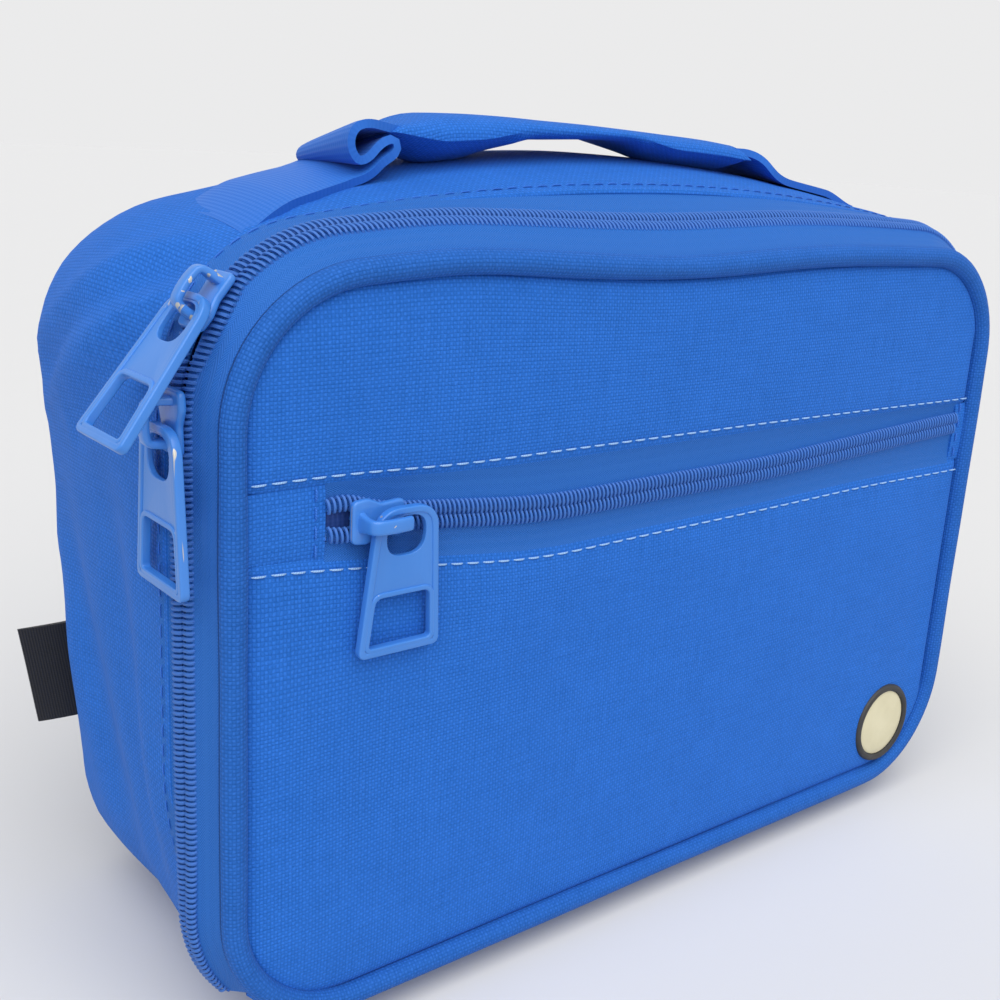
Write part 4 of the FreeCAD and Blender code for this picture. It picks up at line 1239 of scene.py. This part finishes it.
def bridge(setting, open_end):
    """The arched bar over the slider that holds the pull; it may be open at one end."""
    end, top = CAP_LONG / 2, CAP_RISE + CAP_BAR / 2
    foot = 1.05 - end
    line = [(foot, -0.4), (foot - 0.1, 2.4), (foot + 0.3, top - 0.3), (3.4 - end, top + 0.1)]
    if open_end:
        line += [(0.0, top + 0.15), (end - 2.0, top), (end - 0.2, top - 0.25)]
    else:
        line += [(0.0, top + 0.2), *((-x, z) for x, z in reversed(line))]
    path = soft_path(line)
    along = path_ways(path)
    share = np.linspace(0, 1, len(path))[:, None]
    flare = bell(share, 0.0, 0.16) + (0.0 if open_end else bell(share, 1.0, 0.16))
    tip = np.sqrt(np.clip((1 - share) / 0.06, 0.05, 1.0)) if open_end else 1.0
    wide = (CAP_HALF + 0.9 * flare) * tip
    thick = (CAP_BAR / 2) * (1.0 + 0.25 * flare) * tip
    angle = around(20)
    side, up = squarish(np.cos(angle), 0.55) * wide, squarish(np.sin(angle), 0.55) * thick
    local = xyz(path[:, :1] - along[:, 1:] * up, side, path[:, 1:] + along[:, :1] * up)
    x, y, z = axes(placed(local, *setting))
    return Shape().grid(xyz(x, y, z), xyz(x, y + z, 0.95), close=True, ends=(0, -1))


def slider_settings():
    """Middle, outward way, way along the zip and direction of the open end of each slider."""
    cx, cz = ZIP.corner_middle()
    sine, cosine = math.sin(UPPER_SLIDER_TURN), math.cos(UPPER_SLIDER_TURN)
    out = np.array((-cosine, 0.0, sine))
    upper = np.array((-cx, ZIP_Y, cz)) + out * ZIP.sizes[3]
    lower = np.array((-ZIP.sizes[0], ZIP_Y, LOWER_SLIDER_Z))
    pocket = np.array((POCKET_SLIDER_X, LID_Y, POCKET_Z + POCKET_LIFT))
    right, front, up = np.array(((1.0, 0.0, 0.0), (0.0, -1.0, 0.0), (0.0, 0.0, 1.0)))
    return {
        "lower": (lower, -right, up, 1),
        "upper": (upper, out, np.array((sine, 0.0, cosine)), -1),
        "pocket": (pocket, front, right, -1),
    }


def build_sliders():
    """Each slider: two plates, a post between the coil rows and an arched bridge."""
    plan = slider_plan()
    end = SLIDER_LONG / 2 - 1.6
    start = end - POST_LONG
    post = rounded(((start, -POST_HALF), (end, -POST_HALF), (end, POST_HALF), (start, POST_HALF)), 0.2)
    for name, (spot, out, way, wide_end) in slider_settings().items():
        x_way = way * wide_end
        setting = (spot, x_way, np.cross(out, x_way), out)
        body = f"{name}_slider"
        shape = Shape()
        add_cast(shape, setting, [plan], PLATE_LOW, PLATE_HIGH, 0.62, 0.5)
        add_cast(shape, setting, [plan], INNER_LOW, INNER_HIGH, 0.4)
        add_cast(shape, setting, [post], INNER_HIGH - 0.2, PLATE_LOW + 0.2, 0.08)
        shape.object(f"{body}_plates", pull_paint(), body, "pull_metal", [body])
        open_end = name == "pocket"
        x_way = way if open_end else -way
        setting = (spot + out * PLATE_HIGH, x_way, np.cross(out, x_way), out)
        bar = bridge(setting, open_end)
        bar.object(f"{body}_bridge", pull_paint(), body, "pull_metal", [f"{body}_cap"])


def pull_outlines():
    """Outline, eye and window of a pull that hangs towards -Y from the bar above its eye."""
    top = PULL_BAR / 2
    low = top - PULL_LONG

    def half(y):
        return (PULL_TOP + (PULL_BOTTOM - PULL_TOP) * (top - y) / PULL_LONG) / 2

    def inner_half(y):
        return half(y) - PULL_RIM - 0.2

    eye_top = top - PULL_BAR
    eye_low = eye_top - EYE_LONG
    window_top, window_low = eye_low - EYE_TO_WINDOW, low + PULL_RIM
    window = tapered(window_low, window_top, inner_half(window_low), inner_half(window_top))
    return (
        rounded(tapered(low, top, half(low), half(top)), (2.0, 2.0, 6.2, 6.2), 10),
        rounded(tapered(eye_low, eye_top, EYE_HALF, EYE_HALF), (4.2, 4.2, 4.0, 4.0), 10),
        rounded(window, (0.9, 0.9, 1.9, 1.9)),
    )


def pull_settings():
    """Place of each pull: the middle of its bar, and its three ways."""
    settings = {}
    drop = CAP_LONG / 2 - 2.1 - PULL_BAR * 0.875
    sliders = slider_settings()
    for name in ("lower", "upper"):
        spot, out, way, _ = sliders[name]
        pivot = spot + out * (PLATE_HIGH + PULL_RISE) - way * drop
        settings[name] = (pivot, np.cross(way, out), way, out)
    spot, out, way, _ = sliders["pocket"]
    sine, cosine = math.sin(POCKET_PULL_TILT), math.cos(POCKET_PULL_TILT)
    up, face = np.array((0.0, -sine, cosine)), np.array((0.0, -cosine, -sine))
    pivot = spot + out * (PLATE_HIGH + CAP_RISE + CAP_BAR / 2)
    fall = PULL_BAR / 2 + 0.9
    behind = CAP_BAR / 2 + 1.95
    settings["pocket"] = (pivot + way * 5.4 + up * fall - face * behind, way, up, face)
    return settings


def build_pulls():
    """Three cast pulls with raised rims, an eye and a window."""
    outline, eye, window = pull_outlines()
    web = [drawn_in(outline, 0.4), eye, drawn_in(window, -0.4)]
    rim = [outline, drawn_in(outline, 1.55)]
    window_rim = [drawn_in(window, -1.25), window]
    for name, setting in pull_settings().items():
        shape = Shape()
        add_cast(shape, setting, web, -WEB_HALF_THICK, WEB_HALF_THICK, 0.25, 0.2)
        add_cast(shape, setting, rim, -RIM_HALF_THICK, RIM_HALF_THICK, 0.40, 0.62)
        add_cast(shape, setting, window_rim, -RIM_HALF_THICK, RIM_HALF_THICK, 0.35, 0.5)
        shape.object(f"{name}_pull_tab", pull_paint(), f"{name}_pull", "pull_metal", [f"{name}_pull"])


# Handle

STRAP_HALF, STRAP_THICK, HANDLE_Y = 15.0, 1.9, -3.0
STRAP_LIE = STRAP_THICK / 2 + 0.30
GRIP_LEFT, GRIP_RIGHT, GRIP_HALF = -70, 51, 14.0
# Top and underside of the grip along its length, as it lies folded down.
GRIP_STOPS = (-72, -60, -47, -30, -12, 5, 20, 34, 48, 54)
GRIP_TOP = (204.9, 206.2, 206.8, 207.0, 206.4, 205.3, 205.0, 204.6, 203.2, 202.0)
GRIP_UNDER = (199.8, 200.1, 200.6, 201.6, 202.2, 202.2, 201.4, 200.9, 199.9, 198.9)
# The strap ends: where each foot lies on the case, and its line from there to the grip.
LEFT_FOOT, RIGHT_FOOT = (-113, -107, -101, -95, -88, -81), (98, 92, 86, 79, 71)
LEFT_FOLD = [
    (-75.5, 194.7), (-70.6, 197.2), (-67.2, 199.0), (-68.2, 200.9), (-71.6, 199.6), (-74.6, 197.0),
    (-77.8, 196.2), (-80.2, 199.0), (-79.0, 203.0), (-75.0, 204.2), (-69.0, 203.6), (-62.0, 202.6),
]
RIGHT_RISE = [(60, 197.4), (56, 200.2), (51.5, 201.5), (46, 201.7)]
FOLD_SINK, FOLD_SKEW, FOOT_VEER = 0.52, 0.15, 0.33


def crown_height(x, y=HANDLE_Y):
    """Height of the top of the case, by default under the handle."""
    ring = case_rows([y])[0]
    half = len(ring) // 2
    top = ring[half - 69:half + 70]
    return np.interp(x, top[:, 0], top[:, 2])


def case_height(x, y):
    """Height of the case at scattered places."""
    levels = np.linspace(MOUTH_Y, 30.0, 22)
    table = np.array([crown_height(x.ravel(), level) for level in levels])
    share = np.clip((y.ravel() - levels[0]) / (levels[1] - levels[0]), 0.0, len(levels) - 1.001)
    low = share.astype(int)
    column = np.arange(len(low))
    height = table[low, column] + (table[low + 1, column] - table[low, column]) * (share - low)
    return height.reshape(x.shape)


def fold_sink(x, y):
    """Share of its height that the folded left end loses, most of all at the back."""
    back = np.clip((y - HANDLE_Y) / STRAP_HALF + 1.0, 0.0, 2.0) / 2
    return FOLD_SINK * back * (1 - smoothstep(-72.0, -52.0, x))


def build_grip():
    """The padded grip, resting on the case at both ends and loose in between."""
    x = np.linspace(GRIP_LEFT, GRIP_RIGHT, 62)
    resting = crown_height(x) - 0.5
    loose = smoothstep(-40.0, -31.0, x) * (1 - smoothstep(8.0, 19.0, x))
    lifted = np.maximum(loose, 1 - smoothstep(-66.0, -58.0, x))
    under = resting + (np.interp(x, GRIP_STOPS, GRIP_UNDER) - resting) * lifted
    under, top = blurred(under, 7), blurred(np.interp(x, GRIP_STOPS, GRIP_TOP), 7)
    pinch = np.sqrt(np.clip(np.minimum(x - x[0], x[-1] - x) / 3.0, 0.02, 1.0))
    angle = around(40)
    side, up = squarish(np.cos(angle), 0.6), squarish(np.sin(angle), 0.8)
    narrowed = 1 - 0.65 * (1 - loose)[:, None] * np.maximum(-up, 0.0)
    height = ((top + under) / 2)[:, None] + up * ((top - under) / 2 * pinch)[:, None]
    points = xyz(x[:, None], HANDLE_Y + GRIP_HALF * side * narrowed, height)
    points = shifted(points, z=0.18 * slack(points, 71, 40.0))
    x, y, z = axes(points)
    points = shifted(points, z=-fold_sink(x, y) * (z - crown_height(x)))
    whole = np.concatenate((points, points[:, :1]), axis=1)
    grip = Shape().grid(points, xyz(steps_along(whole, 1)[:, :-1], x, 0.0), close=True, ends=(0, -1))
    nodes = ["handle_grip", "handle_core"]
    piece = grip.object("grip_cloth", outer_cloth(), "handle", "outer_fabric", nodes)


def build_straps():
    """The strap ends; the left one is folded back on itself."""
    left, right = ([(x, crown_height(x) + STRAP_LIE) for x in foot] for foot in (LEFT_FOOT, RIGHT_FOOT))
    strap("strap_left", left + LEFT_FOLD, "handle_strap_left")
    right.append((65, crown_height(65) + 1.5))
    strap("strap_right", right + RIGHT_RISE, "handle_strap_right")


def settle(points):
    """Lay the strap on the case across its width, and let the fold sink towards the back."""
    x, y, z = axes(points)
    middle = crown_height(x)
    veer = FOOT_VEER * np.maximum(LEFT_FOOT[-1] - x, 0.0)
    slope = case_height(x, y - veer) - middle
    slope -= 2.2 * (1 - smoothstep(-113.0, -98.0, x) + smoothstep(84.0, 98.0, x))
    above = np.maximum(z - middle, 0.0)
    skew = FOLD_SKEW * (y - HANDLE_Y) * (1 - smoothstep(-68.0, -56.0, x)) * smoothstep(1.5, 4.0, above)
    sink = above * fold_sink(x, y) * smoothstep(1.5, 5.0, above)
    return shifted(points, skew, -veer, slope * (1 - smoothstep(1.5, 9.0, above)) - sink)


def strap(name, line, node):
    """A webbing strap along a line in the XZ plane, from its sewn foot to the grip."""
    path, _ = even_path(at_depth(soft_path(line, 3), 0.0), 1.0)
    along = path_ways(path)
    lift = xyz(-along[:, 2], 0.0, along[:, 0])
    share = np.linspace(-1, 1, 17)[:, None]
    half = STRAP_HALF - 2.6 * smoothstep(len(path) - 16, len(path) - 4, np.arange(len(path)))
    points = path - lift * (0.25 * share ** 6)[..., None]
    points = settle(shifted(points, y=HANDLE_Y + half * share))
    outside = points + lift * (STRAP_THICK / 2)
    facing = np.sign((grid_normals(outside) * lift).sum())
    webbing = Shape().sheet(outside, STRAP_THICK * facing)
    piece = webbing.object(name, strap_cloth(), "", "outer_fabric", [node])
    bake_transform(piece)


# Label and patch

PATCH_X, PATCH_Y, PATCH_Z = 102.0, PANEL_FRONT - 0.4, 27.0
# Profiles of the patch: distance from its middle, and depth.
RIM_PROFILE = (
    (13.0, 0.6), (13.0, -0.7), (12.7, -1.25), (12.1, -1.55), (11.4, -1.5),
    (10.9, -1.1), (10.8, -0.4), (10.8, 0.6), (13.0, 0.6),
)
FACE_PROFILE = (
    (0.01, -1.15), (3.0, -1.14), (6.0, -1.08), (8.5, -0.98),
    (10.0, -0.85), (10.7, -0.6), (10.75, 0.5), (0.01, 0.5),
)


def build_label():
    """A folded cloth label sewn into the back seam, left plain."""
    (x0, y0, z0), (x1, y1, z1) = (np.array(corner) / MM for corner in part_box("label_tab"))
    run = np.linspace(0, 1, 16)
    z = np.linspace(z0, z1, 26)[:, None]
    x = x1 + 5.2 + (x0 - x1 - 0.2) * run + (z1 - z) * 0.16
    y = (y0 + y1) / 2 - 0.6 + 0.9 * run ** 2 + 0.25 * np.sin(z / 6.0) * run
    half = 0.28 + 0.30 * np.sqrt(1 - run)
    wrap = np.concatenate((xyz(x, y - half, z), xyz(x, y + half, z)[:, ::-1]), axis=1)
    shape = Shape().grid(wrap)
    columns = wrap.shape[1]
    for first in (0, shape.count - columns):
        for i in range(len(run) - 1):
            corners = (i, i + 1, columns - 2 - i, columns - 1 - i)
            shape.faces.append(tuple(first + corner for corner in corners))
    piece = shape.object("side_label", label_cloth(), "case", "label_cloth", ["label_tab"])


def build_patch():
    """A moulded round patch with a rolled rim and a plain face."""
    rim = turned(RIM_PROFILE)
    rim.object("patch_ring", patch_rubber(), "lid", "patch_rim", ["patch_base"])
    face = turned(FACE_PROFILE, ends=(0, -1))
    face.object("patch_disc", patch_cream(), "lid", "patch_face", ["patch_face"])


def turned(profile, ends=()):
    """A profile of radius and depth turned about the lid's facing direction."""
    radius, depth = np.array(profile).T[..., None]
    angle = around(72)
    x, z = PATCH_X + radius * np.cos(angle), PATCH_Z + radius * np.sin(angle)
    points = xyz(x, PATCH_Y + depth, z)
    return Shape().grid(points, points, close=True, ends=ends)


# Stage

FLOOR_HALF_M = 6.0
KEY_TURN = (math.radians(30.0), math.radians(-20.0), 0.0)
KEY_SPREAD = math.radians(75.0)
CAMERA_SPOT = (-238.99, -267.75, 204.94)
CAMERA_YAW, CAMERA_PITCH, CAMERA_ROLL = 0.6870, 0.2814, 0.0569


def build_floor():
    """A wide pale floor."""
    tone, far = props().stage.floor, FLOOR_HALF_M
    mesh = bpy.data.meshes.new("floor")
    mesh.from_pydata([(-far, -far, 0), (far, -far, 0), (far, far, 0), (-far, far, 0)], [], [(0, 1, 2, 3)])
    linked("floor", mesh)
    look = Look("floor", Roughness=0.9, Specular_IOR_Level=0.1)
    grain = look.noise(look.node("ShaderNodeTexCoord", output="Object"), 30.0, 3.0)
    look.set(Base_Color=look.mix(grain, shade(tone, 0.995), shade(tone, 1.005)))
    mesh.materials.append(look.material)


def build_light():
    """Even light all round, a pale backdrop and one soft key from above."""
    stage = props().stage
    world = bpy.data.worlds.new("studio")
    bpy.context.scene.world = world
    world.use_nodes = True
    world.node_tree.nodes.clear()
    nodes = Nodes(world.node_tree)
    even = {"Color": (1.0, 1.0, 1.0, 1.0), "Strength": stage.ambient}
    light = nodes.node("ShaderNodeBackground", None, even)
    seen = nodes.node("ShaderNodeBackground", None, {"Color": (*stage.backdrop, 1.0)})
    camera_ray = nodes.node("ShaderNodeLightPath", output="Is Camera Ray")
    glossy_ray = nodes.node("ShaderNodeLightPath", output="Is Glossy Ray")
    share = camera_ray.larger(glossy_ray)
    shown = nodes.node("ShaderNodeMixShader", None, {"Fac": share, 1: light, 2: seen})
    nodes.node("ShaderNodeOutputWorld", None, {"Surface": shown})

    sun = bpy.data.lights.new("key", "SUN")
    sun.energy = stage.key
    sun.angle = KEY_SPREAD
    linked("key", sun).rotation_euler = KEY_TURN


def build_camera():
    """The camera, where the photo was taken from."""
    camera = bpy.data.cameras.new("camera")
    camera.lens = props().stage.lens
    camera.sensor_width = 36.0
    camera.clip_start = 0.01
    view = linked("camera", camera)
    spot = Matrix.Translation([c * MM for c in CAMERA_SPOT])
    aim = Matrix.Rotation(-CAMERA_YAW, 4, "Z") @ Matrix.Rotation(math.pi / 2 - CAMERA_PITCH, 4, "X")
    view.matrix_world = spot @ aim @ Matrix.Rotation(CAMERA_ROLL, 4, "Z")
    bpy.context.scene.camera = view
    bpy.context.scene.view_settings.view_transform = "Standard"


# Operators

class StageOperator(bpy.types.Operator):
    """Set up the floor, the light and the camera"""

    bl_idname = "lunch_box.stage"
    bl_label = "Stage"

    def execute(self, context):
        build_floor()
        build_light()
        build_camera()
        return {"FINISHED"}


class CaseOperator(bpy.types.Operator):
    """Make the padded case cloth, its back panel and the hinge along the bottom"""

    bl_idname = "lunch_box.case"
    bl_label = "Case"

    def execute(self, context):
        build_case()
        build_hinge()
        return {"FINISHED"}


class LiningOperator(bpy.types.Operator):
    """Make the lining of the case, lid and pocket and the binding round case and lid"""

    bl_idname = "lunch_box.lining"
    bl_label = "Lining"

    def execute(self, context):
        build_case_lining()
        build_lid_lining()
        build_pocket_bag()
        return {"FINISHED"}


class LidOperator(bpy.types.Operator):
    """Make the lid's front panels and the piping round it"""

    bl_idname = "lunch_box.lid"
    bl_label = "Lid"

    def execute(self, context):
        build_lid()
        build_piping()
        return {"FINISHED"}


class ZipOperator(bpy.types.Operator):
    """Make the tapes and coils of both zips"""

    bl_idname = "lunch_box.zips"
    bl_label = "Zips"

    def execute(self, context):
        build_main_zip()
        build_pocket_zip()
        return {"FINISHED"}


class StitchOperator(bpy.types.Operator):
    """Sew the rows of topstitching"""

    bl_idname = "lunch_box.stitches"
    bl_label = "Stitches"

    def execute(self, context):
        build_stitches()
        return {"FINISHED"}


class SliderOperator(bpy.types.Operator):
    """Cast the three sliders and their pulls"""

    bl_idname = "lunch_box.sliders"
    bl_label = "Sliders and pulls"

    def execute(self, context):
        build_sliders()
        build_pulls()
        return {"FINISHED"}


class HandleOperator(bpy.types.Operator):
    """Make the padded grip and its two strap ends"""

    bl_idname = "lunch_box.handle"
    bl_label = "Handle"

    def execute(self, context):
        build_grip()
        build_straps()
        return {"FINISHED"}


class TrimOperator(bpy.types.Operator):
    """Make the side label and the round patch"""

    bl_idname = "lunch_box.trim"
    bl_label = "Label and patch"

    def execute(self, context):
        build_label()
        build_patch()
        return {"FINISHED"}


OPERATORS = (
    StageOperator,
    CaseOperator,
    LiningOperator,
    LidOperator,
    ZipOperator,
    StitchOperator,
    SliderOperator,
    HandleOperator,
    TrimOperator,
)


class LunchBoxPanel(bpy.types.Panel):
    """Settings and steps of the lunch box"""

    bl_idname = "VIEW3D_PT_lunch_box"
    bl_label = "Lunch Box"
    bl_space_type = "VIEW_3D"
    bl_region_type = "UI"
    bl_category = "Lunch Box"

    def draw(self, context):
        settings = context.scene.lunch_box
        for group in (settings.cloth, settings.zip, settings.stage):
            box = self.layout.box()
            for name in group.__annotations__:
                box.prop(group, name)
        for operator in OPERATORS:
            self.layout.operator(operator.bl_idname)


CLASSES = (LunchBoxCloth, LunchBoxZip, LunchBoxStage, LunchBoxSettings, *OPERATORS, LunchBoxPanel)


def register():
    for cls in CLASSES:
        bpy.utils.register_class(cls)
    bpy.types.Scene.lunch_box = PointerProperty(type=LunchBoxSettings)


def unregister():
    del bpy.types.Scene.lunch_box
    for cls in reversed(CLASSES):
        bpy.utils.unregister_class(cls)


def main():
    register()
    for operator in OPERATORS:
        group, name = operator.bl_idname.split(".")
        getattr(getattr(bpy.ops, group), name)()


if __name__ == "__main__":
    main()
